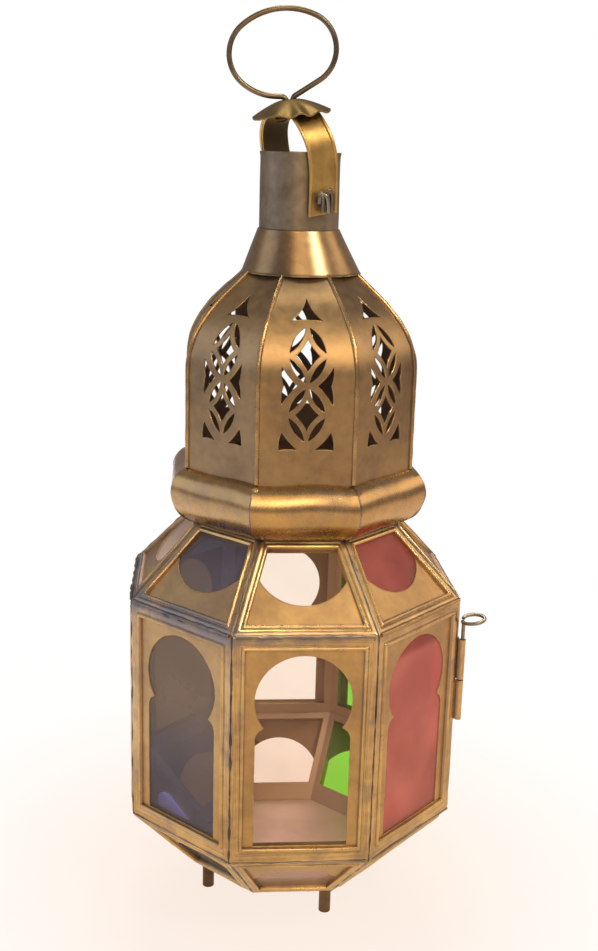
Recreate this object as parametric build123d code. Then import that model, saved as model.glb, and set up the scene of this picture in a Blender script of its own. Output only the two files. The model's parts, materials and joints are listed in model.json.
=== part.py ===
from build123d import *
import math
import os

# Eight-sided brass lantern. Millimetres, +Z up, origin on the ground under the axis, front side facing -Y.

# Levels, from the ground up
FOOT_HEIGHT = 11.2
BASE_HEIGHT = 28.8
WINDOW_HEIGHT = 88.0
ROOF_HEIGHT = 28.2

# Distances from the axis to the middle of a side
BASE_APOTHEM = 37.0
BODY_APOTHEM = 62.0
ROOF_TOP_APOTHEM = 36.0
MOULDING_APOTHEM = 47.4
DOME_APOTHEM = 41.4

# Sheet, channel and pane thicknesses
SHEET = 0.6
FLOOR_SHEET = 0.7
FLANGE = 0.7
PLATE = 0.5
GLASS = 2.0
PANE_CLEARANCE = 0.1

# Channel frames
LIP = 1.8
BEAD_RADIUS = 0.55
BEAD_INSET = 0.75
WINDOW_STILE = 4.9
WINDOW_LOW_RAIL = 6.0
WINDOW_HIGH_RAIL = 5.4
TAPER_STILE = 3.8
ROOF_LOW_RAIL = 4.4
ROOF_HIGH_RAIL = 5.0
BASE_LOW_RAIL = 4.9
BASE_HIGH_RAIL = 4.4

# Horseshoe arch of the window plates
JAMB_STRIP = 8.7
ARCH_SWELL = 0.3
ARCH_TOP_DROP = 7.5
CUSP_INSET = 3.1
SHOULDER_DROP = 4.4
SILL_STRIP = 0.5

# Scooped lunette plates of the roof and base
SCOOP_RADIUS = 17.4
ROOF_SCOOP_HEIGHT = 29.1
BASE_SCOOP_HEIGHT = 8.5

# Door, its hinge and its catch
DOOR_GAP = 0.4
HINGE_TUBE_RADIUS = 1.25
HINGE_LEAF = 0.5
HINGE_LEAF_WIDTH = 3.2
HINGE_LOW = 39.0
HINGE_KNUCKLE = 16.2
HINGE_KNUCKLE_GAP = 0.5
HINGE_PLUG = 0.8
PIN_RADIUS = 0.75
PIN_CLEARANCE = 0.08
PIN_END_CLEARANCE = 0.1
PIN_RISE = 7.9
PIN_EYE_RADIUS = 2.0
PIN_EYE_RUN = 4.2
PIN_EYE_GAP = 0.15
PIN_EYE_TURN_DEG = -30.0
CATCH_SHEET = 0.5
CATCH_REACH = 3.2
CATCH_LAP = 2.9
CATCH_CLEARANCE = 0.3
CATCH_HEIGHT = 12.0
CATCH_RISE = 38.0

# Rolled moulding and dome
MOULDING_SEAT = 1.7
MOULDING_LIFT = 11.6
MOULDING_TOP_RISE = 8.7
MOULDING_OVERRUN_DEG = 10.0
GORE_FOOT = 3.0
DOME_WALL = 36.5
DOME_LOW_BEND = 30.0
DOME_LOW_TURN_DEG = 33.0
DOME_HIGH_BEND = 60.0
DOME_HIGH_TURN_DEG = 14.0
GORE_TUCK = 1.6
SEAM_HALF_WIDTH = 1.1
SEAM_HEIGHT = 0.7
SEAM_GAP = 0.05

# Fretwork of a gore
FRET_FIRST_NODE = 14.9
FRET_PITCH = 20.5
FRET_HALF_WIDTH = 7.0
LEAF_TIP_GAP = 1.2
LEAF_HALF_WIDTH = 1.2
DIAMOND_HALF_HEIGHT = 5.4
DIAMOND_HALF_WIDTH = 4.2
SIDE_CURVE = 0.35
TAIL_TIP = 3.5
TAIL_EDGE = 8.9
TAIL_HALF_HEIGHT = 6.5
TAIL_NOTCH = 0.7
TAIL_BOW_DEPTH = 0.4
CORNER_INNER = 3.0
CORNER_OUTER = 9.6
CORNER_HEIGHT = 6.3
CORNER_LEAN = 1.0
CORNER_DROP = 2.2
SPEAR_HALF_WIDTH = 5.5
SPEAR_HEIGHT = 7.2
SPEAR_LIFT = 1.0
SPEAR_CURVE = 0.9

# Collar and neck
COLLAR_RADIUS = 21.8
COLLAR_HEIGHT = 15.0
NECK_RADIUS = 14.5
NECK_SHIFT = -1.2
NECK_HEIGHT = 27.4
NECK_TUCK = 3.0
SEAT_GAP = 0.05

# Bail strap and its split pins
BAIL_TURN_DEG = -63.0
BAIL_LEAN_DEG = 8.5
PIVOT_RISE = 11.2
STRAP_WIDTH = 12.0
STRAP_SHEET = 0.8
STRAP_CLEARANCE = 0.5
STRAP_LEG_RISE = 16.0
STRAP_LEG_DROP = 5.2
STRAP_RIM_WIDTH = 1.2
STRAP_RIM_HEIGHT = 0.6
TIE_RADIUS = 1.0
TIE_CLEARANCE = 0.08
TIE_EYE_RADIUS = 1.7
PRONG_RADIUS = 0.8
PRONG_OFFSET = 0.85
PRONG_SPLAY_DEG = 9.0
PRONG_BEND = 1.0
PRONG_LENGTH = 6.3
PRONG_CLEARANCE = 0.3

# Cap rosette
CAP_LOBES = 10
CAP_RADIUS = 14.5
CAP_CROWN_RADIUS = 4.2
CAP_DROP = 4.6
CAP_FLUTE = 0.13
CAP_SCALLOP = 0.04
CAP_HOLE_RADIUS = 2.8
CAP_GAP = 0.1
CAP_SEAT_STEPS = 40

# Hanging ring, followed from the right shank
RING_WIRE_RADIUS = 0.95
RING_TURN_DEG = -5.0
RING_SHANK_OFFSET = 1.0
RING_FOOT_BEND = 2.0
RING_FOOT_RUN = 2.5
RING_FOOT_DROP = 0.8
RING_LEAN_DEG = 25.3
RING_RUN = 9.8
RING_HEEL_RADIUS = 12.25
RING_HEEL_DEG = 124.5
RING_SIDE_RADIUS = 24.7
RING_SIDE_DEG = 64.0
RING_TOP_RADIUS = 12.4
RING_TOP_DEG = 99.0
RING_TAIL_RADIUS = 19.0
RING_TAIL_DEG = 39.5
RING_CAP_CLEARANCE = 0.3
CROWN_HOLE_RADIUS = 2.5

# Feet
FOOT_RING = 35.0
FOOT_RADIUS = 2.3
FOOT_SEAM_DEG = 40.0

SIDES = 8
SIDE_DEG = 360 / SIDES
HALF_SIDE_RAD = math.radians(SIDE_DEG / 2)
SIDE_SLOPE = math.tan(HALF_SIDE_RAD)
FRONT_DEG = -90.0
DOOR_SIDE = "right"
SIDE_NAMES = ("front", "front_right", "right", "back_right", "back", "back_left", "left", "front_left")
SIDE_COLOURS = ("clear", "red", "clear", "green", "clear", "amber", "clear", "blue")

# Derived levels
BASE_Z = FOOT_HEIGHT
WINDOW_Z = BASE_Z + BASE_HEIGHT
EAVE_Z = WINDOW_Z + WINDOW_HEIGHT
ROOF_TOP_Z = EAVE_Z + ROOF_HEIGHT
MOULDING_Z = ROOF_TOP_Z + MOULDING_LIFT
DOME_BASE_Z = MOULDING_Z + MOULDING_TOP_RISE
SLOT_DEPTH = PLATE + GLASS + PANE_CLEARANCE
FRAME_DEPTH = 2 * FLANGE + SLOT_DEPTH
JAMB_HALF = BODY_APOTHEM * SIDE_SLOPE - JAMB_STRIP
REACH = 2 * BODY_APOTHEM


def side_angle(index):
    """Compass angle that a side faces, counted from the front."""
    return FRONT_DEG + SIDE_DEG * index


def turned(shape, degrees):
    """A copy of a shape turned about the lantern's axis."""
    return Rot(0, 0, degrees) * shape


def on_meridian(face):
    """Stand a sketch of (distance from the axis, height) up in the plane through the axis and +X."""
    return Plane.XZ * face


def polygon(*points):
    """Filled outline through the given points."""
    return make_face(Polyline(*points, close=True))


def wedge(side_gap=0.0):
    """The slice of space that belongs to one side, narrowed by side_gap at each mitre plane."""
    tip = side_gap / math.sin(HALF_SIDE_RAD)
    half = (REACH - tip) * SIDE_SLOPE
    return extrude(polygon((tip, 0), (REACH, -half), (REACH, half)), amount=4 * REACH)


def slab_on_side(profile, side_gap=0.0):
    """A meridian profile carried straight across one side and cut at the two mitre planes."""
    return extrude(on_meridian(profile), amount=REACH, both=True) & wedge(side_gap)


# Body outline

def crossing(point_a, way_a, point_b, way_b):
    """Where two lines of the meridian plane meet."""
    cross = way_a[0] * way_b[1] - way_a[1] * way_b[0]
    gap = (point_b[0] - point_a[0], point_b[1] - point_a[1])
    step = (gap[0] * way_b[1] - gap[1] * way_b[0]) / cross
    return (point_a[0] + step * way_a[0], point_a[1] + step * way_a[1])


def inward_line(low, high, depth):
    """The line through two outline points, moved towards the axis by depth: a point and a direction."""
    way = (high[0] - low[0], high[1] - low[1])
    length = math.hypot(*way)
    return (low[0] - depth * way[1] / length, low[1] + depth * way[0] / length), way


OUTER = (
    (BASE_APOTHEM, BASE_Z),
    (BODY_APOTHEM, WINDOW_Z),
    (BODY_APOTHEM, EAVE_Z),
    (ROOF_TOP_APOTHEM, ROOF_TOP_Z),
)


def inner_outline():
    """The body outline moved in by the frames' depth, with its two ends cut level."""
    lines = [inward_line(OUTER[i], OUTER[i + 1], FRAME_DEPTH) for i in range(3)]
    points = [crossing(*lines[0], OUTER[0], (1, 0))]
    for i in range(2):
        points.append(crossing(*lines[i], *lines[i + 1]))
    points.append(crossing(*lines[2], OUTER[3], (1, 0)))
    return points


INNER = inner_outline()


class Panel:
    """One flat side of the body, drawn facing +X: its outer plane, its outline there and its mitred blank."""

    def __init__(self, level, end_gap=0.0, side_gap=0.0):
        low, high = OUTER[level], OUTER[level + 1]
        low_cut, high_cut = INNER[level], INNER[level + 1]
        low, low_cut = [(p[0], p[1] + end_gap) for p in (low, low_cut)]
        high, high_cut = [(p[0], p[1] - end_gap) for p in (high, high_cut)]
        self.rise = math.hypot(high[0] - low[0], high[1] - low[1])
        normal = Vector(high[1] - low[1], 0, low[0] - high[0])
        self.plane = Plane(origin=(low[0], 0, low[1]), x_dir=(0, 1, 0), z_dir=normal)
        side_inset = side_gap / math.cos(HALF_SIDE_RAD)
        self.low_half = low[0] * SIDE_SLOPE - side_inset
        self.high_half = high[0] * SIDE_SLOPE - side_inset
        self.blank = slab_on_side(polygon(low, high, high_cut, low_cut), side_gap)

    def inset(self, stile, low_rail, high_rail):
        """Corners of the outline moved in by the given widths, counter-clockwise from the lower left."""
        lean = (self.high_half - self.low_half) / self.rise
        shift = stile * math.hypot(1, lean)
        top = self.rise - high_rail
        low_half = self.low_half + lean * low_rail - shift
        high_half = self.low_half + lean * top - shift
        return [(-low_half, low_rail), (low_half, low_rail), (high_half, top), (-high_half, top)]

    def prism(self, face, low, high):
        """A sketch of the panel's plane as a solid between two depths, counted outwards."""
        return extrude(self.plane.offset(low) * face, amount=high - low)


class Frame:
    """Mitred channel frame of a panel, with the grooves that hold its plate and its pane."""

    def __init__(self, panel, stile, low_rail, high_rail):
        self.panel = panel
        self.widths = (stile, low_rail, high_rail)
        self.window = panel.inset(*self.widths)

    def groove_corners(self, clearance=0.0):
        """Outline of the groove, or of a sheet that sits in it with clearance."""
        return self.panel.inset(*[width - LIP + clearance for width in self.widths])

    def bead(self, start, end):
        """Half-round ridge beside a window edge: a rod lying half sunk in the outer face."""
        first = self.panel.plane.from_local_coords(Vector(*start))
        last = self.panel.plane.from_local_coords(Vector(*end))
        along = (last - first).normalized()
        outward = along.cross(self.panel.plane.z_dir)
        overrun = max(self.widths)
        origin = first + outward * BEAD_INSET - along * overrun
        rod = Plane(origin=origin, z_dir=along) * Circle(BEAD_RADIUS)
        return extrude(rod, amount=(last - first).length + 2 * overrun)

    def rails(self):
        """The four rails: blank minus groove, parted along the mitres at the corners."""
        panel = self.panel
        groove = panel.prism(polygon(*self.groove_corners()), -FLANGE - SLOT_DEPTH, -FLANGE)
        body = panel.blank - groove
        corners = panel.inset(0, 0, 0)
        far = [(2 * o[0] - w[0], 2 * o[1] - w[1]) for o, w in zip(corners, self.window)]
        rails = []
        for i in range(4):
            j = (i + 1) % 4
            sector = polygon(far[i], far[j], self.window[j], self.window[i])
            rail = body & panel.prism(sector, -2 * FRAME_DEPTH, 0)
            ridge = self.bead(self.window[i], self.window[j])
            ridge &= panel.prism(sector, -FLANGE / 2, 2 * BEAD_RADIUS)
            rails.append((rail + ridge).solid())
        return rails

    def plate(self, opening):
        """Brass sheet behind the outer flange, with its opening cut out."""
        sheet = polygon(*self.groove_corners(PANE_CLEARANCE)) - opening
        return self.panel.prism(sheet, -FLANGE - PLATE, -FLANGE).solid()

    def pane(self):
        """Glass behind the plate."""
        face = polygon(*self.groove_corners(PANE_CLEARANCE))
        return self.panel.prism(face, -FLANGE - PLATE - GLASS, -FLANGE - PLATE).solid()


def arc_about(centre, radius, start, end):
    """Circular arc about a centre between two angles in degrees."""
    angles = [math.radians(a) for a in (start, (start + end) / 2, end)]
    points = [(centre[0] + radius * math.cos(a), centre[1] + radius * math.sin(a)) for a in angles]
    return ThreePointArc(*points)


def bowed(start, end, bow):
    """Arc from start to end whose middle lies bow to the left of the straight line."""
    dx, dy = end[0] - start[0], end[1] - start[1]
    length = math.hypot(dx, dy)
    middle = ((start[0] + end[0]) / 2 - bow * dy / length, (start[1] + end[1]) / 2 + bow * dx / length)
    return ThreePointArc(start, middle, end)


def arch_opening(panel):
    """Horseshoe arch: most of a circle, cusps, rounded shoulders and straight jambs down to the sill."""
    radius = JAMB_HALF + ARCH_SWELL
    centre = (0, panel.rise - ARCH_TOP_DROP - radius)
    cusp_angle = -math.degrees(math.acos((JAMB_HALF - CUSP_INSET) / radius))
    cusp_height = centre[1] + radius * math.sin(math.radians(cusp_angle))
    shoulder_radius = (CUSP_INSET**2 + SHOULDER_DROP**2) / (2 * CUSP_INSET)
    shoulder_height = cusp_height - SHOULDER_DROP
    shoulder_turn = math.degrees(math.asin(SHOULDER_DROP / shoulder_radius))
    sill = WINDOW_LOW_RAIL + SILL_STRIP
    shoulder_centre = JAMB_HALF - shoulder_radius
    outline = Line((-JAMB_HALF, sill), (JAMB_HALF, sill))
    outline += Line((JAMB_HALF, sill), (JAMB_HALF, shoulder_height))
    outline += arc_about((shoulder_centre, shoulder_height), shoulder_radius, 0, shoulder_turn)
    outline += arc_about(centre, radius, cusp_angle, 180 - cusp_angle)
    outline += arc_about((-shoulder_centre, shoulder_height), shoulder_radius, 180 - shoulder_turn, 180)
    outline += Line((-JAMB_HALF, shoulder_height), (-JAMB_HALF, sill))
    return make_face(outline)


def scoop_opening(height, way):
    """Round scoop that leaves a lunette: a circle and everything beyond its centre, up (1) or down (-1)."""
    beyond = Pos(0, height + way * REACH / 2) * Rectangle(REACH, REACH)
    return Pos(0, height) * Circle(SCOOP_RADIUS) + beyond


def body_panels():
    """Frames, plates and panes of the base, the windows, the door and the roof."""
    base = Frame(Panel(0), TAPER_STILE, BASE_LOW_RAIL, BASE_HIGH_RAIL)
    window = Frame(Panel(1), WINDOW_STILE, WINDOW_LOW_RAIL, WINDOW_HIGH_RAIL)
    door = Frame(Panel(1, DOOR_GAP, DOOR_GAP), WINDOW_STILE, WINDOW_LOW_RAIL, WINDOW_HIGH_RAIL)
    roof = Frame(Panel(2), TAPER_STILE, ROOF_LOW_RAIL, ROOF_HIGH_RAIL)
    nodes = {}
    for name, frame, scoop in (
        ("base", base, scoop_opening(BASE_SCOOP_HEIGHT, -1)),
        ("roof", roof, scoop_opening(ROOF_SCOOP_HEIGHT, 1)),
    ):
        rails, plate, pane = frame.rails(), frame.plate(scoop), frame.pane()
        for index, colour in enumerate(SIDE_COLOURS):
            angle = side_angle(index)
            nodes.setdefault(f"{name}_frames", []).extend(turned(rail, angle) for rail in rails)
            nodes.setdefault(f"{name}_plates", []).append(turned(plate, angle))
            nodes.setdefault(f"{name}_glass_{colour}", []).append(turned(pane, angle))
    window_set = (window.rails(), window.plate(arch_opening(window.panel)), window.pane())
    door_set = (door.rails(), door.plate(arch_opening(door.panel)), door.pane())
    for index, side in enumerate(SIDE_NAMES):
        angle = side_angle(index)
        is_door = side == DOOR_SIDE
        rails, plate, pane = door_set if is_door else window_set
        name = "door_{}" if is_door else "window_{}_" + side
        nodes[name.format("frame")] = [turned(rail, angle) for rail in rails]
        nodes[name.format("plate")] = [turned(plate, angle)]
        nodes[name.format("glass")] = [turned(pane, angle)]
    return nodes


# Hinge, pin and catch

HINGE_STANDOFF = HINGE_TUBE_RADIUS + HINGE_LEAF / 2
HINGE_RADIUS = (BODY_APOTHEM + HINGE_STANDOFF) / math.cos(HALF_SIDE_RAD)
HINGE_Z = WINDOW_Z + HINGE_LOW
HINGE_UPPER_Z = HINGE_Z + HINGE_KNUCKLE + HINGE_KNUCKLE_GAP
HINGE_TOP_Z = HINGE_UPPER_Z + HINGE_KNUCKLE
HINGE_DEG = side_angle(SIDE_NAMES.index(DOOR_SIDE)) - SIDE_DEG / 2


def hinge_half(side, low):
    """Rolled tube and leaf on a panel's stile, drawn facing +X; side is the hinge corner's sign."""
    axis_y = side * HINGE_RADIUS * math.sin(HALF_SIDE_RAD)
    axis_x = BODY_APOTHEM + HINGE_STANDOFF
    tube = Pos(axis_x, axis_y, low) * extrude(Circle(HINGE_TUBE_RADIUS), amount=HINGE_KNUCKLE)
    edge_y = side * (BODY_APOTHEM * SIDE_SLOPE - HINGE_LEAF_WIDTH)
    leaf_face = polygon(
        (BODY_APOTHEM, edge_y),
        (BODY_APOTHEM + HINGE_LEAF, edge_y),
        (BODY_APOTHEM + HINGE_LEAF, axis_y),
        (BODY_APOTHEM, axis_y),
    )
    leaf = Pos(0, 0, low) * extrude(leaf_face, amount=HINGE_KNUCKLE)
    return tube + leaf, Pos(axis_x, axis_y)


def hinge_tubes():
    """Lower tube on the fixed neighbour, plugged at its foot, and upper tube on the door, open through."""
    bore = extrude(Circle(PIN_RADIUS + PIN_CLEARANCE), amount=HINGE_KNUCKLE)
    door_index = SIDE_NAMES.index(DOOR_SIDE)
    lower, place = hinge_half(1, HINGE_Z)
    lower -= place * Pos(0, 0, HINGE_Z + HINGE_PLUG) * bore
    upper, place = hinge_half(-1, HINGE_UPPER_Z)
    upper -= place * Pos(0, 0, HINGE_UPPER_Z) * bore
    return {
        "hinge_tube_fixed": [turned(lower, side_angle(door_index - 1)).solid()],
        "hinge_tube_door": [turned(upper, side_angle(door_index)).solid()],
    }


def bent_wire(start, heading, moves):
    """Edges and last heading of a flat wire of runs (length,) and bends (radius, turn), left positive."""
    edges = []
    point = Vector(*start)
    for move in moves:
        way = Vector(math.cos(math.radians(heading)), math.sin(math.radians(heading)))
        if len(move) == 1:
            edge = Line(point, point + way * move[0])
        else:
            edge = JernArc(start=point, tangent=way, radius=move[0], arc_size=move[1])
            heading += move[1]
        edges.append(edge)
        point = edge @ 1
    return edges, heading


def round_wire(edges, radius):
    """Round rod along a flat wire, stood up in the meridian plane."""
    path = Plane.XZ * Wire(edges)
    section = Plane(origin=path @ 0, z_dir=path % 0) * Circle(radius)
    return sweep(section, path=path)


def hinge_pin():
    """Pin wire that stands on the lower tube's plug and ends in an oval eye above the door's tube."""
    foot = HINGE_Z + HINGE_PLUG + PIN_END_CLEARANCE
    eye_foot = HINGE_TOP_Z + PIN_RISE
    way_back = PIN_EYE_RUN + PIN_EYE_RADIUS - 2 * PIN_RADIUS - PIN_EYE_GAP
    moves = [
        (eye_foot - foot,),
        (PIN_EYE_RADIUS, -90),
        (PIN_EYE_RUN,),
        (PIN_EYE_RADIUS, -180),
        (way_back,),
    ]
    edges, _ = bent_wire((0, foot), 90, moves)
    wire = turned(round_wire(edges, PIN_RADIUS), PIN_EYE_TURN_DEG)
    angle = math.radians(HINGE_DEG)
    return (Pos(HINGE_RADIUS * math.cos(angle), HINGE_RADIUS * math.sin(angle)) * wire).solid()


def door_catch():
    """Bent tab on the door's free stile that laps over the next side's stile."""
    corner = (BODY_APOTHEM, BODY_APOTHEM * SIDE_SLOPE)
    fold = math.radians(SIDE_DEG)
    normal = (math.cos(fold), math.sin(fold))
    along = (-math.sin(fold), math.cos(fold))

    def bend_at(offset, lift):
        """Corner of the tab: on the line offset from the door's face and lift from the neighbour's."""
        return (corner[0] + offset, corner[1] + (lift - offset * normal[0]) / normal[1])

    inner = bend_at(0, CATCH_CLEARANCE)
    outer = bend_at(CATCH_SHEET, CATCH_CLEARANCE + CATCH_SHEET)
    tip_outer = (outer[0] + CATCH_LAP * along[0], outer[1] + CATCH_LAP * along[1])
    tip_inner = (tip_outer[0] - CATCH_SHEET * normal[0], tip_outer[1] - CATCH_SHEET * normal[1])
    root = corner[1] - CATCH_REACH
    outline = polygon(
        (corner[0], root), (corner[0] + CATCH_SHEET, root), outer, tip_outer, tip_inner, inner
    )
    tab = Pos(0, 0, WINDOW_Z + CATCH_RISE) * extrude(outline, amount=CATCH_HEIGHT)
    return turned(tab, side_angle(SIDE_NAMES.index(DOOR_SIDE))).solid()


# Moulding and dome

def moulding_segment():
    """Rolled sheet: two arcs that meet upright at the widest line, cut by the dome's wall and the roof."""
    roof_way = (ROOF_TOP_APOTHEM - BODY_APOTHEM, ROOF_HEIGHT)
    roof_length = math.hypot(*roof_way)
    seat = [OUTER[3][i] - MOULDING_SEAT * roof_way[i] / roof_length for i in range(2)]
    low_run = (MOULDING_APOTHEM - seat[0], MOULDING_Z - seat[1])
    low_radius = (low_run[0] ** 2 + low_run[1] ** 2) / (2 * low_run[0])
    top_run = (MOULDING_APOTHEM - DOME_APOTHEM, MOULDING_TOP_RISE)
    top_radius = (top_run[0] ** 2 + top_run[1] ** 2) / (2 * top_run[0])
    low_centre = (MOULDING_APOTHEM - low_radius, MOULDING_Z)
    top_centre = (MOULDING_APOTHEM - top_radius, MOULDING_Z)
    low_angle = -math.degrees(math.acos(1 - low_run[0] / low_radius)) - MOULDING_OVERRUN_DEG
    top_angle = math.degrees(math.acos(1 - top_run[0] / top_radius)) + MOULDING_OVERRUN_DEG
    outer_low = arc_about(low_centre, low_radius, low_angle, 0)
    outer_top = arc_about(top_centre, top_radius, 0, top_angle)
    inner_top = arc_about(top_centre, top_radius - SHEET, top_angle, 0)
    inner_low = arc_about(low_centre, low_radius - SHEET, 0, low_angle)
    outline = outer_low + outer_top + Line(outer_top @ 1, inner_top @ 0)
    outline += inner_top + inner_low + Line(inner_low @ 1, outer_low @ 0)
    past_top = (2 * OUTER[3][0] - OUTER[2][0], 2 * OUTER[3][1] - OUTER[2][1])
    under_roof = polygon(OUTER[2], past_top, (-REACH, past_top[1]), (-REACH, OUTER[2][1]))
    beyond = MOULDING_Z + REACH
    wall_low = (DOME_APOTHEM, MOULDING_Z)
    inside_dome = polygon((-REACH, MOULDING_Z), wall_low, (DOME_APOTHEM, beyond), (-REACH, beyond))
    return slab_on_side(make_face(outline) - under_roof - inside_dome).solid()


DOME_SPRING_Z = DOME_BASE_Z + DOME_WALL
DOME_TURN_DEG = DOME_LOW_TURN_DEG + DOME_HIGH_TURN_DEG
COLLAR_TOP_INNER = NECK_RADIUS + SEAT_GAP


def dome_point(offset, turn):
    """Point of the dome's outline after it has turned in by an angle, offset along its normal."""
    low = math.radians(min(turn, DOME_LOW_TURN_DEG))
    centre = (DOME_APOTHEM - DOME_LOW_BEND, DOME_SPRING_Z)
    radius = DOME_LOW_BEND
    if turn > DOME_LOW_TURN_DEG:
        step = DOME_LOW_BEND - DOME_HIGH_BEND
        centre = (centre[0] + step * math.cos(low), centre[1] + step * math.sin(low))
        radius = DOME_HIGH_BEND
        low = math.radians(turn)
    return (centre[0] + (radius + offset) * math.cos(low), centre[1] + (radius + offset) * math.sin(low))


def collar_seat():
    """Height at which the gores' corners fill the collar's lower rim."""
    rim = COLLAR_RADIUS - SHEET - SEAT_GAP
    start = dome_point(0, DOME_TURN_DEG)
    return start[1] + (start[0] - rim * math.cos(HALF_SIDE_RAD)) / math.tan(math.radians(DOME_TURN_DEG))


COLLAR_Z = collar_seat()
COLLAR_TOP_Z = COLLAR_Z + COLLAR_HEIGHT
NECK_TOP_Z = COLLAR_TOP_Z + NECK_HEIGHT


def dome_line(offset, low):
    """Edges of the gore's outline at an offset: upright wall, two bends and the straight tuck."""
    lean = math.radians(DOME_TURN_DEG)
    bend_end = dome_point(offset, DOME_TURN_DEG)
    tuck = (COLLAR_Z + GORE_TUCK - dome_point(0, DOME_TURN_DEG)[1]) / math.cos(lean)
    tuck_end = (bend_end[0] - tuck * math.sin(lean), bend_end[1] + tuck * math.cos(lean))
    spring = dome_point(offset, 0)
    low_end = dome_point(offset, DOME_LOW_TURN_DEG)
    middle = DOME_LOW_TURN_DEG + DOME_HIGH_TURN_DEG / 2
    wall = Line((spring[0], low), spring)
    low_bend = ThreePointArc(spring, dome_point(offset, DOME_LOW_TURN_DEG / 2), low_end)
    high_bend = ThreePointArc(low_end, dome_point(offset, middle), bend_end)
    return wall + low_bend + high_bend + Line(bend_end, tuck_end), (spring[0], low), tuck_end


def dome_band(inner, outer, low):
    """Cross-section of a bent sheet between two offsets from the dome's outline."""
    outer_line, outer_low, outer_top = dome_line(outer, low)
    inner_line, inner_low, inner_top = dome_line(inner, low)
    return make_face(outer_line + inner_line + Line(outer_low, inner_low) + Line(outer_top, inner_top))


def leaf_hole(start, end):
    """Lens between two lattice nodes, its tips short of both."""
    dx, dz = end[0] - start[0], end[1] - start[1]
    share = LEAF_TIP_GAP / math.hypot(dx, dz)
    tip = (start[0] + share * dx, start[1] + share * dz)
    top = (end[0] - share * dx, end[1] - share * dz)
    return make_face(bowed(tip, top, LEAF_HALF_WIDTH) + bowed(top, tip, LEAF_HALF_WIDTH))


def ring_of_arcs(points, bows):
    """Face whose corners are joined by arcs, each bowed to the left by its own amount."""
    outline = Curve()
    for i, bow in enumerate(bows):
        outline += bowed(points[i], points[(i + 1) % len(points)], bow)
    return make_face(outline)


def fretwork():
    """All holes of one gore as sketches of (across, height)."""
    nodes = [DOME_BASE_Z + FRET_FIRST_NODE + FRET_PITCH * i for i in range(3)]
    holes = []
    for i in range(2):
        middle = (nodes[i] + nodes[i + 1]) / 2
        for sign in (-1, 1):
            side_node = (sign * FRET_HALF_WIDTH, middle)
            holes.append(leaf_hole((0, nodes[i]), side_node))
            holes.append(leaf_hole(side_node, (0, nodes[i + 1])))
        diamond = [
            (DIAMOND_HALF_WIDTH, middle),
            (0, middle + DIAMOND_HALF_HEIGHT),
            (-DIAMOND_HALF_WIDTH, middle),
            (0, middle - DIAMOND_HALF_HEIGHT),
        ]
        holes.append(ring_of_arcs(diamond, [SIDE_CURVE] * 4))
    for sign in (-1, 1):
        bow = sign * SIDE_CURVE
        bulge = -sign * TAIL_BOW_DEPTH
        tail = [
            (sign * TAIL_TIP, nodes[1]),
            (sign * TAIL_EDGE, nodes[1] - TAIL_HALF_HEIGHT),
            (sign * (TAIL_EDGE - TAIL_NOTCH), nodes[1]),
            (sign * TAIL_EDGE, nodes[1] + TAIL_HALF_HEIGHT),
        ]
        holes.append(ring_of_arcs(tail, [bow, bulge, bulge, bow]))
        foot = nodes[0] - CORNER_DROP
        corner = [
            (sign * CORNER_INNER, foot),
            (sign * CORNER_OUTER, foot),
            (sign * (CORNER_OUTER - CORNER_LEAN), foot + CORNER_HEIGHT),
        ]
        holes.append(ring_of_arcs(corner, [bow, bulge, bow]))
    spear = [
        (SPEAR_HALF_WIDTH, nodes[2] + SPEAR_LIFT),
        (0, nodes[2] + SPEAR_LIFT + SPEAR_HEIGHT),
        (-SPEAR_HALF_WIDTH, nodes[2] + SPEAR_LIFT),
    ]
    holes.append(ring_of_arcs(spear, [SPEAR_CURVE, SPEAR_CURVE, SIDE_CURVE]))
    return holes


def dome_gore():
    """One bent sheet of the dome, mitred to its neighbours and pierced."""
    gore = slab_on_side(dome_band(-SHEET, 0, DOME_BASE_Z - GORE_FOOT))
    cutters = [extrude(Plane.YZ * hole, amount=REACH) for hole in fretwork()]
    return (gore - cutters).solid()


def dome_seam():
    """Soldered ridge over the joint of two gores, at the corner left of the side that faces +X."""
    band = dome_band(SEAM_GAP, SEAM_GAP + SEAM_HEIGHT, DOME_BASE_Z + SEAM_GAP)
    below_collar = polygon((0, 0), (REACH, 0), (REACH, COLLAR_Z - SEAM_GAP), (0, COLLAR_Z - SEAM_GAP))
    edges = (slab_on_side(band & below_collar) - wedge(SEAM_HALF_WIDTH)).solids().sort_by(Axis.Y)
    return (edges[-1] + turned(edges[0], SIDE_DEG)).solid()


# Collar, neck and bail

def slanted_cone(low_radius, top_radius):
    """Solid from a circle about the axis up to a smaller one about the neck."""
    low = Pos(0, 0, COLLAR_Z) * Circle(low_radius)
    return loft([low, Pos(NECK_SHIFT, 0, COLLAR_TOP_Z) * Circle(top_radius)])


def collar_cone():
    """Rolled cone between the dome's rim and the neck, which stands a little off the axis."""
    outer = slanted_cone(COLLAR_RADIUS, COLLAR_TOP_INNER + SHEET)
    return (outer - slanted_cone(COLLAR_RADIUS - SHEET, COLLAR_TOP_INNER)).solid()


PIVOT_Z = COLLAR_TOP_Z + PIVOT_RISE


def on_neck(shape, degrees=0.0):
    """A piece drawn about the axis, turned and carried over to the neck."""
    return Pos(NECK_SHIFT, 0, 0) * turned(shape, degrees)


def cross_rod(radius, length):
    """Rod along the bail's pivot, centred on the axis."""
    return Pos(-length / 2, 0, PIVOT_Z) * Rot(0, 90, 0) * extrude(Circle(radius), amount=length)


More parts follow.
